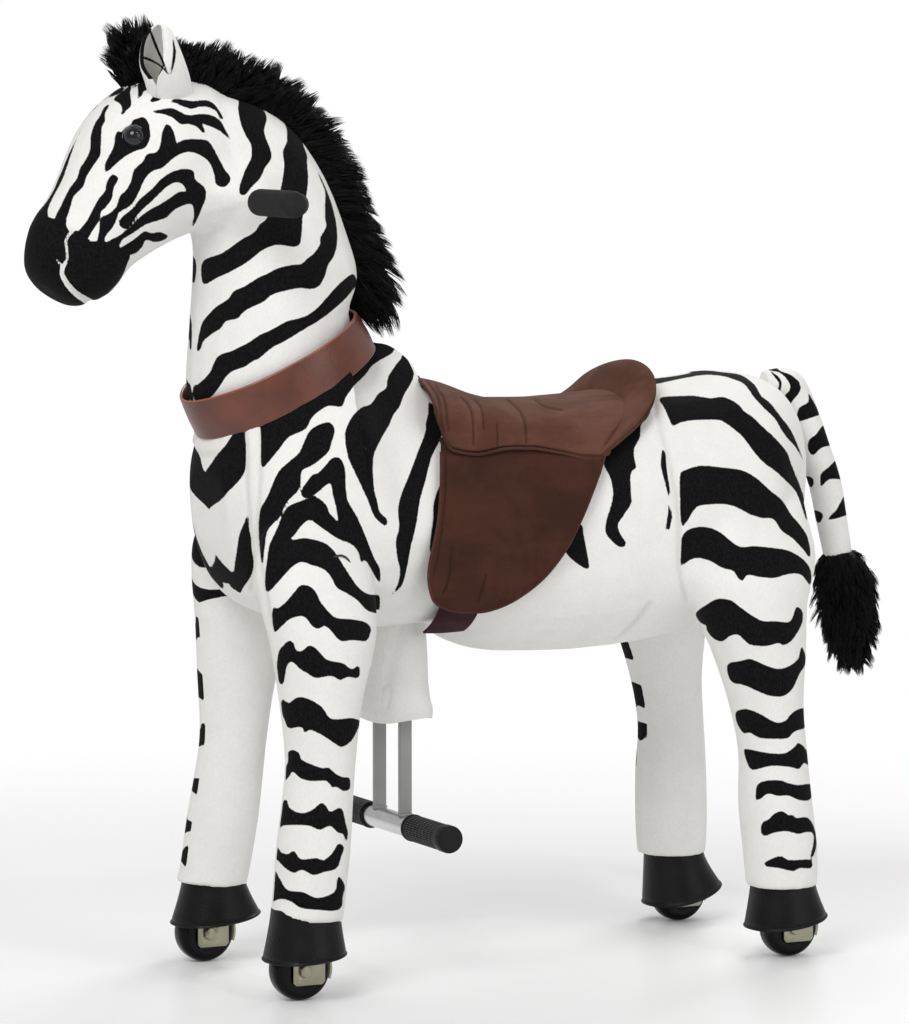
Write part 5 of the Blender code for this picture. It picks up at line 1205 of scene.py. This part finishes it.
# Collar
COLLAR_STEPS, COLLAR_RAW = 160, 0.0205  # places round it, and how far up or down its edge is raw
COLLAR_SECTION = (  # up and out from the middle of its wall
    (-0.0215, 0.0), (-0.021, 0.0012), (-0.0195, 0.0019), (-0.018, 0.0017), (-0.012, 0.0022),
    (-0.004, 0.0026), (0.004, 0.0026), (0.012, 0.0022), (0.018, 0.0017), (0.0195, 0.0019), (0.021, 0.0012),
    (0.0215, 0.0), (0.021, -0.0012), (0.0195, -0.0019), (0.0, -0.0019), (-0.0195, -0.0019),
    (-0.021, -0.0012),
)


def collar():
    rings = []
    for turn in 2.0 * math.pi * np.arange(COLLAR_STEPS) / COLLAR_STEPS:
        ring = []
        for up, out in COLLAR_SECTION:
            share = (up + COLLAR_HEIGHT / 2.0) / COLLAR_HEIGHT
            wave = 0.0009 * math.sin(3.0 * turn + 40.0 * up) + 0.0006 * math.sin(7.0 * turn + 1.0)
            length = 0.0988 - 0.002 * share + out + wave
            width = 0.0870 - 0.002 * share + out + wave
            across, back = width * math.sin(turn), -0.0030 - length * math.cos(turn)
            ring.append((across, *collar_point(back, up)))
        rings.append(ring)
    bpy.ops.object.select_all(action="DESELECT")
    bpy.ops.mesh.primitive_torus_add(
        major_segments=COLLAR_STEPS, minor_segments=len(COLLAR_SECTION), major_radius=1.0, minor_radius=0.3
    )
    strap = reshaped(called("neck_strap"), np.array(rings))
    layered(strap, "raw", np.tile([float(abs(up) > COLLAR_RAW) for up, _ in COLLAR_SECTION], COLLAR_STEPS))
    refined(strap)
    bpy.ops.object.mode_set(mode="EDIT")
    outwards()
    bpy.ops.object.shade_smooth()
    shown(strap, COLLAR_LEATHER, "front_frame", "collar", slot="brown_leather")


collar()

# Ears, eyes and hair
EAR_ROWS = smoothed([  # front y, z, rear y, z, half width, middle x, half opening in degrees
    (-0.388, 0.866, -0.345, 0.872, 0.014, 0.025, -9.0), (-0.3925, 0.879, -0.3485, 0.886, 0.0155, 0.033, -8.0),
    (-0.4, 0.894, -0.355, 0.901, 0.0165, 0.041, 6.0), (-0.4075, 0.91, -0.3625, 0.915, 0.017, 0.047, 34.0),
    (-0.408, 0.925, -0.369, 0.929, 0.015, 0.049, 42.0), (-0.405, 0.937, -0.3745, 0.94, 0.0115, 0.05, 46.0),
    (-0.399, 0.9455, -0.38, 0.947, 0.007, 0.051, 48.0), (-0.393, 0.9495, -0.386, 0.95, 0.0022, 0.051, 50.0),
], 10)
EAR_LINES = [
    [(173, 40, 0.4), (174.5, 52, 1.3), (173, 64, 1.3), (170, 76, 0.6)],
    [(140, 57, 0.8), (148, 59, 1.2), (156, 63, 1.2), (163, 68, 1.0), (168, 74, 0.6)],
    [(149, 28, 0.9), (151, 33, 1.3), (156, 46, 1.3), (162, 60, 1.2), (167, 72, 0.7)],
]
EAR_FOLD = [[(163, 30, 1.2), (164, 40, 1.6), (164, 52, 1.2)]]
EAR_EDGE = ((24.0, 31.0, 61.0, 68.0, 78.0), (148.0, 151.0, 163.0, 163.0, 157.0))


def ear(word, sign):
    """A leaf of plush, open to the front, with a dark rim, and grey inside: part its own colour, part painted
    shade of the hollow.
    """
    count, thin, ground = 61, 0.0026, -DEEPEST
    rings, lining_and_shade, dark = [], [], []
    for y0, z0, y1, z1, width, x, opening in EAR_ROWS:
        gap = math.radians(opening)
        turn = np.linspace(gap, 2.0 * math.pi - gap, count)
        middle = np.array([(y0 + y1) / 2.0, (z0 + z1) / 2.0])
        half = np.array([y1 - y0, z1 - z0]) / 2.0
        faced = turn - math.radians(40.0)
        from_edge = (np.minimum(turn, 2.0 * math.pi - turn) - gap) * (width + half[0]) / 2.0
        rim_width = 0.0026 + 0.03 * max(middle[1] - 0.940, 0.0)
        rim = np.where(middle[1] > 0.900, (rim_width - from_edge) / PIXEL, ground)
        ring = []
        for inset in (0.0, thin):
            share = 1.0 - inset / max(width, 0.0045)
            side = -np.cos(faced) * share
            out = np.sin(faced) * width * share
            lean = 0.0 if sign > 0.0 else 0.012 + 0.32 * (middle[1] - 0.88)
            along, up = middle[0] + lean + half[0] * side, middle[1] - 0.4 * lean + half[1] * side
            skin = np.column_stack([sign * (x - out), along, up])
            ring.append(skin[::-1] if inset else skin)
        rings.append(np.vstack(ring))
        lining_and_shade += [np.zeros(count), np.ones(count)]
        dark += [rim, rim[::-1] - 1.0]
    leaf = lofted(f"ear_shell_{word}", rings)
    across, down = picture_place(points_of(leaf)).T
    beyond = across > np.interp(down, *EAR_EDGE)
    creased(leaf, EAR_FOLD, depth=0.0012)
    # The inner face is painted grey, part its own colour and part painted shade of the hollow, except beyond
    # the edge line.
    layered(leaf, "lining_and_shade", np.where(beyond, 0.0, np.concatenate(lining_and_shade)))
    marked(leaf, [], dark_lines=EAR_LINES, start=np.where(beyond, ground, np.concatenate(dark)))
    shown(leaf, PLUSH, "head", f"ear_{word}", slot="white_plush", fill=0.5)


both_sides(ear)


def eye(word, sign):
    """A glass dome in a thin ring."""
    centre = Vector((sign * EYE[0], EYE[1], EYE[2]))
    bpy.ops.object.select_all(action="DESELECT")
    bpy.ops.mesh.primitive_uv_sphere_add(segments=48, ring_count=24, radius=0.0108, location=centre)
    dome = settled(called(f"eye_dome_{word}"))
    bpy.ops.object.shade_smooth()
    shown(dome, EYE_GLASS, "head", f"eye_{word}", slot="black_glass")
    out = Vector((sign * EYE_OUT.x, EYE_OUT.y, EYE_OUT.z))
    bpy.ops.mesh.primitive_torus_add(
        major_segments=56, minor_segments=10, major_radius=0.0109, minor_radius=0.0007,
        location=centre + out * 0.0014, rotation=facing(out),
    )
    ring = settled(called(f"eye_ring_{word}"))
    bpy.ops.object.shade_smooth()
    shown(ring, EYE_RING, "head", slot="black_glass")


both_sides(eye)


def strands(name, roots, first, last, reach, thick, seed, locks):
    """Fur: tapered hairs that turn from a first direction to a last one, drawn together in locks."""
    rng = np.random.default_rng(seed)
    count = len(roots)
    leads = rng.choice(count, locks, replace=False)
    lock = np.concatenate([
        ((part[:, None] - roots[leads]) ** 2).sum(2).argmin(1) for part in np.array_split(roots, 24)
    ])
    sway = rng.normal(0.0, 0.20, (locks, 3))[lock]
    stretch = rng.uniform(0.82, 1.12, locks)[lock] * rng.uniform(0.72, 1.1, count)
    points, at = [roots], roots
    for share in (0.25, 0.6, 0.95):
        way = first * (1.0 - share) + last * share + sway + rng.normal(0.0, 0.07, (count, 3))
        way /= np.linalg.norm(way, axis=1)[:, None]
        at = at + way * (reach * stretch / 3.0)[:, None]
        points.append(at)
    for i, pull in ((2, 0.25), (3, 0.5)):
        points[i] = points[i] * (1.0 - pull) + points[i][leads][lock] * pull
    along = points[1] - points[0]
    side = np.cross(along, rng.normal(size=(count, 3)))
    side /= np.linalg.norm(side, axis=1)[:, None]
    other = np.cross(along, side)
    other /= np.linalg.norm(other, axis=1)[:, None]
    corners = []
    for spot, share in zip(points[:3], (1.0, 0.85, 0.5)):
        for turn in (0.0, 2.094, 4.189):
            corners.append(spot + (side * math.cos(turn) + other * math.sin(turn)) * thick * share)
    corners.append(points[3])
    faces = [(0, 2, 1)]
    for level in (0, 3):
        faces += [(level + j, level + (j + 1) % 3, level + 3 + (j + 1) % 3, level + 3 + j) for j in range(3)]
    faces += [(6 + j, 6 + (j + 1) % 3, 9) for j in range(3)]
    each = len(corners)
    return sewn(name, np.stack(corners, axis=1), [
        tuple(i + each * k for i in face) for k in range(count) for face in faces
    ])


def seeded(stations, sides, count, seed):
    """Places spread evenly over a skin drawn through stations, and its normal at each, alike on every run."""
    rng = np.random.default_rng(seed)
    turn = 2.0 * math.pi * np.arange(sides + 1) / sides
    sin, cos = np.sin(turn), np.cos(turn)
    rows = smoothed([[*top, *bottom, width] for top, bottom, width in stations], STATION_STEPS)
    rings = [
        np.column_stack([width * cos, (y0 + y1 + (y0 - y1) * sin) / 2.0, (z0 + z1 + (z0 - z1) * sin) / 2.0])
        for y0, z0, y1, z1, width in rows
    ]
    ends = [np.tile(ring[:-1].mean(axis=0), (sides + 1, 1)) for ring in (rings[0], rings[-1])]
    grid = np.stack([ends[0], *rings, ends[1]])
    a, b, c, d = grid[:-1, :-1], grid[:-1, 1:], grid[1:, 1:], grid[1:, :-1]
    tri = np.concatenate([np.stack(corners, axis=2).reshape(-1, 3, 3) for corners in ((a, b, c), (a, c, d))])
    cross = np.cross(tri[:, 1] - tri[:, 0], tri[:, 2] - tri[:, 0])
    cross *= np.sign((tri[:, 0] * np.cross(tri[:, 1], tri[:, 2])).sum())
    area = np.linalg.norm(cross, axis=1)
    picks = rng.choice(len(tri), count, p=area / area.sum())
    a, b = np.sqrt(rng.random(count))[:, None], rng.random(count)[:, None]
    spots = tri[picks, 0] * (1.0 - a) + tri[picks, 1] * (a * (1.0 - b)) + tri[picks, 2] * (a * b)
    return spots, cross[picks] / area[picks, None]


MANE = [
    ((-0.412, 0.908), (-0.401, 0.884), 0.007), ((-0.4095, 0.93), (-0.392, 0.882), 0.014),
    ((-0.3925, 0.94), (-0.375, 0.88), 0.018), ((-0.37, 0.934), (-0.36, 0.878), 0.018),
    ((-0.35, 0.926), (-0.348, 0.876), 0.018), ((-0.331, 0.921), (-0.339, 0.876), 0.018),
    ((-0.303, 0.914), (-0.317, 0.872), 0.018), ((-0.277, 0.901), (-0.298, 0.858), 0.018),
    ((-0.25, 0.892), (-0.2776, 0.852), 0.018), ((-0.221, 0.872), (-0.2526, 0.836), 0.018),
    ((-0.197, 0.847), (-0.235, 0.816), 0.018), ((-0.177, 0.82), (-0.2208, 0.796), 0.018),
    ((-0.162, 0.79), (-0.2086, 0.77), 0.018), ((-0.151, 0.762), (-0.198, 0.747), 0.018),
    ((-0.14, 0.73), (-0.1885, 0.718), 0.018), ((-0.128, 0.693), (-0.175, 0.688), 0.017),
    ((-0.124, 0.668), (-0.156, 0.667), 0.011),
]
HAIR = (  # y, its direction in degrees up from the rear, its length
    (-0.43, 150.0, 0.026), (-0.405, 122.0, 0.026), (-0.385, 98.0, 0.021), (-0.365, 72.0, 0.014),
    (-0.345, 58.0, 0.013), (-0.325, 66.0, 0.021), (-0.3, 60.0, 0.026), (-0.26, 46.0, 0.025),
    (-0.22, 24.0, 0.024), (-0.195, 4.0, 0.025), (-0.175, -22.0, 0.026), (-0.155, -46.0, 0.03),
    (-0.135, -62.0, 0.034),
)


def mane():
    form = stuffed("mane_root", MANE, 24)
    bpy.ops.object.shade_smooth()
    spots, normals = seeded(MANE, sides=24, count=15000, seed=7)
    degrees, reach = row(HAIR, spots[:, 1])
    turn = np.radians(degrees)
    flow = np.column_stack([normals[:, 0] * 0.30, np.cos(turn), np.sin(turn)])
    first, last = normals * 0.6 + flow, flow + normals * 0.1
    fur = strands("mane_fur", spots, first, last, reach, thick=0.0006, seed=11, locks=420)
    shown(joined("mane_hair", form, fur), FUR, "head", "mane", slot="black_fur", fill=0.5)


TUFT = [
    ((0.42, 0.401), (0.386, 0.399), 0.016), ((0.432, 0.382), (0.383, 0.378), 0.0205),
    ((0.437, 0.35), (0.388, 0.346), 0.021), ((0.437, 0.322), (0.394, 0.318), 0.019),
    ((0.433, 0.298), (0.404, 0.296), 0.013), ((0.425, 0.284), (0.414, 0.283), 0.005),
]


def tuft():
    form = stuffed("tuft_root", TUFT, 20)
    bpy.ops.object.shade_smooth()
    spots, normals = seeded(TUFT, sides=20, count=6500, seed=5)
    down = np.column_stack([normals[:, 0] * 0.25, 0.06 + normals[:, 1] * 0.22, -np.ones(len(spots))])
    reach = np.interp(spots[:, 2], (0.28, 0.33, 0.40), (0.018, 0.024, 0.026))
    fur = strands("tuft_fur", spots, normals * 0.45 + down, down, reach, thick=0.0006, seed=3, locks=240)
    shown(joined("tuft_hair", form, fur), FUR, "rear_frame", "tail_tuft", slot="black_fur", fill=0.5)


mane()
tuft()

# Sleeve round the pedal posts
SKIRT = smoothed([  # z, front y, rear y, half width
    (0.392, -0.140, -0.100, 0.034), (0.360, -0.152, -0.0900, 0.043), (0.327, -0.156, -0.0865, 0.047),
    (0.295, -0.158, -0.0850, 0.0485), (0.277, -0.160, -0.0825, 0.0505), (0.266, -0.160, -0.0795, 0.0520),
    (0.2565, -0.157, -0.0800, 0.0500),
], 7)
SKIRT_FOLDS = [[(401, 628, 7.0), (396, 648, 8.0), (388, 680, 7.0), (384, 706, 5.0)]]


def skirt():
    phase = np.random.default_rng(4).uniform(0.0, 6.28, 6)
    count, middle_y = 72, -0.123
    turn = 2.0 * math.pi * np.arange(count) / count
    rings = []
    walls = [(r, 0.0) for r in SKIRT] + [(r, 0.004) for r in SKIRT[:20:-1]]
    for (z, front, rear, width), wall in walls:
        xs, ys = oval(front + wall, rear - wall, width - wall, 0.0, count, fullness=2.3)
        drape = (0.375 - z) / 0.12
        fold = sum(math.pow(0.6, k) * np.sin((k + 2) * turn + phase[k]) for k in range(4))
        push = 1.0 + fold * 0.022 * drape
        sag = 0.0022 * drape * np.sin(3.0 * turn + phase[5])
        rings.append(np.column_stack([xs * push, (ys - middle_y) * push + middle_y, z + sag]))
    sleeve = lofted("post_sleeve", rings)
    refined(sleeve)
    creased(sleeve, SKIRT_FOLDS, depth=0.0030)
    # No painted crease shade on the sleeve: its folds keep only their shape.
    layered(sleeve, "fold", np.zeros(len(sleeve.data.vertices)))
    layered(sleeve, "dark", np.full(len(sleeve.data.vertices), -DEEPEST))
    shown(sleeve, PLUSH, "front_frame", "belly_skirt", slot="white_plush", fill=0.2)


skirt()

# Hooves: front and rear from the axle, at the top and at the hem, then height and rise behind, at each
HOOVES = {
    ("front", "left"): ((-0.0265, 0.0420), (-0.0350, 0.0465), (0.0900, -0.012), (0.0395, 0.006)),
    ("front", "right"): ((-0.0200, 0.0420), (-0.0330, 0.0590), (0.0850, 0.0), (0.0390, 0.010)),
    ("rear", "left"): ((-0.0385, 0.0260), (-0.0450, 0.0395), (0.0780, 0.0), (0.0310, 0.012)),
    ("rear", "right"): ((-0.0360, 0.0260), (-0.0370, 0.0470), (0.0760, -0.002), (0.0190, 0.021)),
}
HOOF_WALL = (  # share of the way from the top to the hem, and how far in, over the top, down and up inside
    (-0.1, 0.01), (-0.1, 0.002), (-0.08, 0.001), (0.0, 0.0), (0.15, 0.0), (0.3, 0.0), (0.45, 0.0),
    (0.6, 0.0), (0.74, 0.0), (0.86, 0.0), (0.915, 0.0), (0.93, 0.0004), (0.94, 0.0005), (0.955, -0.0002),
    (0.975, -0.0007), (1.0, -0.0007), (1.015, 0.0), (1.015, 0.001), (0.99, 0.0018), (0.9, 0.0026),
    (0.6, 0.003), (0.2, 0.003), (0.17, 0.01),
)


def hoof(end, word, axle, sign):
    """A leather cover, wider at the hem, where it is turned up in a piping."""
    top, hem, high, low = HOOVES[end, word]
    rings = []
    for share, inset in HOOF_WALL:
        flare = max(share, 0.0) ** 1.25
        front = axle + top[0] + (hem[0] - top[0]) * flare + inset
        rear = axle + top[1] + (hem[1] - top[1]) * flare - inset
        width = 0.0320 + 0.0085 * flare - inset
        xs, ys = oval(front, rear, width, sign * WHEEL_X, count=96, fullness=2.15)
        back = np.clip((ys - front) / (rear - front), 0.0, 1.0)
        upper, lower = high[0] + high[1] * back, low[0] + low[1] * back**1.6
        rings.append(np.column_stack([xs, ys, upper + (lower - upper) * share]))
    name = f"{end}_hoof_{word}"
    shown(drawn(f"{name}_cover", rings), HOOF_LEATHER, f"{end}_frame", name, slot="black_leather")


for end, axle_y in (("front", FRONT_AXLE_Y), ("rear", REAR_AXLE_Y)):
    for word, sign in SIDES:
        hoof(end, word, axle_y, sign)

# Wheels and what holds them
WHEEL_RINGS = [
    (-0.0104, 0.0045), (-0.0104, 0.012), (-0.0108, 0.0128), (-0.012, 0.0132), (-0.0124, 0.014),
    (-0.0124, 0.0232), (-0.0121, 0.025), (-0.0114, 0.0265), (-0.0101, 0.0279), (-0.0082, 0.029),
    (-0.0058, 0.0297), (-0.003, 0.03), (-0.0008, 0.03),
]
WHEEL_RINGS += [(-at, radius) for at, radius in WHEEL_RINGS[::-1]]


def wheel(node, x, y, body):
    tyre = turned(f"{node}_tyre", (x, y, WHEEL_RADIUS), (1.0, 0.0, 0.0), WHEEL_RINGS, corners=72)
    shown(tyre, WHEEL_BLACK, body, node, slot="black_tyre")


def eased(node, finish, width, body):
    """A copy of a solid, with its edges eased."""
    only(NODES[node])
    bpy.ops.object.duplicate()
    piece = called(f"{node}_fine")
    piece.data.materials.clear()
    bpy.ops.object.mode_set(mode="EDIT")
    bpy.ops.mesh.select_all(action="SELECT")
    bpy.ops.mesh.remove_doubles(threshold=0.00001)
    bpy.ops.mesh.dissolve_limited(angle_limit=math.radians(1.0))
    bpy.ops.object.mode_set(mode="OBJECT")
    applied(piece, "BEVEL", width=width, segments=2, limit_method="ANGLE", angle_limit=math.radians(35.0))
    bpy.ops.object.shade_smooth_by_angle(angle=math.radians(40.0))
    piece.data.materials.append(finish)
    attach(piece, body)
    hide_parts(node)


for word, sign in SIDES:
    for end, axle_y in (("front", FRONT_AXLE_Y), ("rear", REAR_AXLE_Y)):
        wheel(f"{end}_wheel_{word}", sign * WHEEL_X, axle_y, f"{end}_{word}_wheel")

for name in NODES:
    if "fork" in name or "pawl" in name or "axle_bolt" in name:
        eased(name, ZINC, 0.0004, next(b for b, held in HELD.items() if name in held))

# Pedals and handlebar
cross_tube = turned(
    "pedal_tube", (0.0, PEDAL_Y, PEDAL_Z), (1.0, 0.0, 0.0), [(-0.128, 0.011), (0.128, 0.011)], corners=48
)
shown(cross_tube, CHROME, "front_frame", "pedal_frame", slot="bright_steel")


def post(word, sign):
    """A flat post with eased edges, welded to the pedals' cross tube."""
    foot = np.array([sign * POST_X, PEDAL_Y, 0.0])
    bpy.ops.object.select_all(action="DESELECT")
    bpy.ops.mesh.primitive_cube_add(
        size=1.0, location=(sign * POST_X, PEDAL_Y, 0.273), scale=(0.0070, 0.0128, 0.240)
    )
    bar = settled(called(f"pedal_post_{word}"))
    applied(bar, "BEVEL", width=0.0012, segments=3, limit_method="ANGLE")
    bpy.ops.object.shade_smooth_by_angle(angle=math.radians(40.0))
    bpy.ops.mesh.primitive_torus_add(
        major_segments=32, minor_segments=8, major_radius=0.0048, minor_radius=0.0016,
        location=(sign * POST_X, PEDAL_Y, PEDAL_Z + 0.0106),
    )
    weld = settled(called(f"pedal_weld_{word}"))
    reshaped(weld, (points_of(weld) - foot) * [0.95, 1.35, 1.0] + foot)
    bpy.ops.object.shade_smooth()
    shown(joined(f"pedal_post_{word}", bar, weld), GREY_STEEL, "front_frame", slot="grey_paint")


def pedal_grip(word, sign):
    """A knurled sleeve between a ring and an end cap."""
    centre, axis = (0.0, PEDAL_Y, PEDAL_Z), (sign, 0.0, 0.0)
    rings = [(0.0495, 0.0114), (0.0495, 0.0124), (0.0502, 0.0130), (0.0520, 0.0130)]
    rings += [(0.054 + 0.0016 * i, 0.0130 + 0.0004 * (i % 2)) for i in range(43)]
    rings += [(0.1225, 0.0130), (0.1225, 0.0114)]
    grip = turned(f"pedal_sleeve_{word}", centre, axis, rings, corners=56)
    shown(grip, KNURLED, "front_frame", f"pedal_grip_{word}", slot="black_rubber")
    for part, ends in (
        ("cap", [(0.1215, 0.0100), (0.1215, 0.0136), (0.1222, 0.0139), (0.1325, 0.0139),
                 (0.1343, 0.0134), (0.1350, 0.0120), (0.1350, 0.0030), (0.1346, 0.0010)]),
        ("ring", [(0.0480, 0.0112), (0.0480, 0.0134), (0.0486, 0.0138), (0.0506, 0.0138),
                  (0.0512, 0.0134), (0.0512, 0.0112)]),
    ):
        end = turned(f"pedal_{part}_{word}", centre, axis, ends, corners=56)
        shown(end, CAP_BLACK, "front_frame", slot="black_rubber")


def handle(word, sign):
    rings = [
        (0.0990, 0.0060), (0.0995, 0.0095), (0.1008, 0.0115), (0.1030, 0.0127), (0.1060, 0.0131),
        (0.1400, 0.0132), (0.1810, 0.0131), (0.1845, 0.0127), (0.1872, 0.0117), (0.1890, 0.0098),
        (0.1900, 0.0062), (0.1904, 0.0010),
    ]
    grip = turned(f"handle_sleeve_{word}", (0.0, *HANDLE), (sign, 0.0, 0.0), rings, corners=56)
    shown(grip, FOAM, "head", f"handle_grip_{word}", slot="black_rubber")


both_sides(post)
both_sides(pedal_grip)
both_sides(handle)

# Finishes of the solids that stay
KEPT = {
    FRAME_PAINT: [n for n in NODES if "spine" in n or "leg_tube" in n] + [
        "head_tube", "main_axle", "saddle_bracket", "steering_column"
    ],
    SPRING: ["return_spring"],
    BOARD: ["saddle_tree"],
}
for finish, names in KEPT.items():
    for name in names:
        NODES[name].data.materials.clear()
        NODES[name].data.materials.append(finish)


# Floor, light and camera
def stage():
    bpy.ops.object.select_all(action="DESELECT")
    bpy.ops.mesh.primitive_plane_add(size=160.0)
    floor = called("floor")
    pale = Finish("pale_floor", 0.32, Specular_IOR_Level=0.30)
    pale.set(Base_Color=(0.90, 0.90, 0.90))
    reach = pale.node("ShaderNodeVectorMath", {"operation": "LENGTH"}, {0: pale.spot()}, "Value")
    seen = pale.node("ShaderNodeLightPath", output="Is Camera Ray")
    glow = pale.node("ShaderNodeEmission", None, {"Color": (1.0, 1.0, 1.0), "Strength": 0.05})
    nothing = pale.node("ShaderNodeEmission", None, {"Strength": 0.0})
    lit = pale.node("ShaderNodeMixShader", None, {0: seen, 1: nothing, 2: glow})
    near = pale.node("ShaderNodeAddShader", None, {0: Number(pale, pale.shader.outputs[0]), 1: lit})
    white = pale.node("ShaderNodeEmission", None, {"Color": (1.0, 1.0, 1.0), "Strength": 1.0})
    far = seen * pale.between(reach, 0.75, 1.7)
    both = pale.node("ShaderNodeMixShader", None, {0: far, 1: near, 2: white})
    pale.tree.links.new(both.socket, pale.tree.nodes["Material Output"].inputs["Surface"])
    floor.data.materials.append(pale.material)


def area_light(name, place, aim, size, power):
    light = bpy.data.lights.new(name, "AREA")
    light.shape = "DISK"
    light.size = size
    light.energy = power
    lamp = added(name, light)
    lamp.location = place
    lamp.rotation_euler = (Vector(aim) - Vector(place)).to_track_quat("-Z", "Y").to_euler()


def lights():
    """A white world to the camera, dimmer on the toy, and four soft lamps."""
    world = bpy.data.worlds.new("studio")
    bpy.context.scene.world = world
    world.use_nodes = True
    tree = world.node_tree
    fill, white = tree.nodes["Background"], tree.nodes.new("ShaderNodeBackground")
    for light, strength in ((fill, 0.52), (white, 1.0)):
        light.inputs["Color"].default_value = (1.0, 1.0, 1.0, 1.0)
        light.inputs["Strength"].default_value = strength
    path = tree.nodes.new("ShaderNodeLightPath")
    mix = tree.nodes.new("ShaderNodeMixShader")
    tree.links.new(path.outputs["Is Camera Ray"], mix.inputs[0])
    tree.links.new(fill.outputs[0], mix.inputs[1])
    tree.links.new(white.outputs[0], mix.inputs[2])
    tree.links.new(mix.outputs[0], tree.nodes["World Output"].inputs["Surface"])
    area_light("key", (2.2, -2.6, 3.4), (0.0, 0.0, 0.45), 2.4, 95.0)
    area_light("fill", (3.6, 1.6, 1.6), (0.0, 0.0, 0.4), 2.5, 22.0)
    area_light("rim", (-1.6, 1.8, 2.6), (0.0, 0.0, 0.5), 1.6, 40.0)
    area_light("glint", (2.53, 0.48, 3.14), (0.0, -0.2, 0.6), 0.25, 12.0)


def camera():
    lens = bpy.data.cameras.new("camera")
    lens.sensor_width = SENSOR_MM
    lens.lens = FOCAL_PIXELS * SENSOR_MM / PICTURE_HEIGHT
    lens.clip_end = 200.0
    body = added("camera", lens)
    turn = Matrix((RIGHT, UP, BACK)).transposed().to_4x4()
    body.matrix_world = Matrix.Translation(CAMERA_PLACE) @ turn
    bpy.context.scene.camera = body


stage()
lights()
camera()
bpy.context.scene.view_settings.view_transform = "Standard"
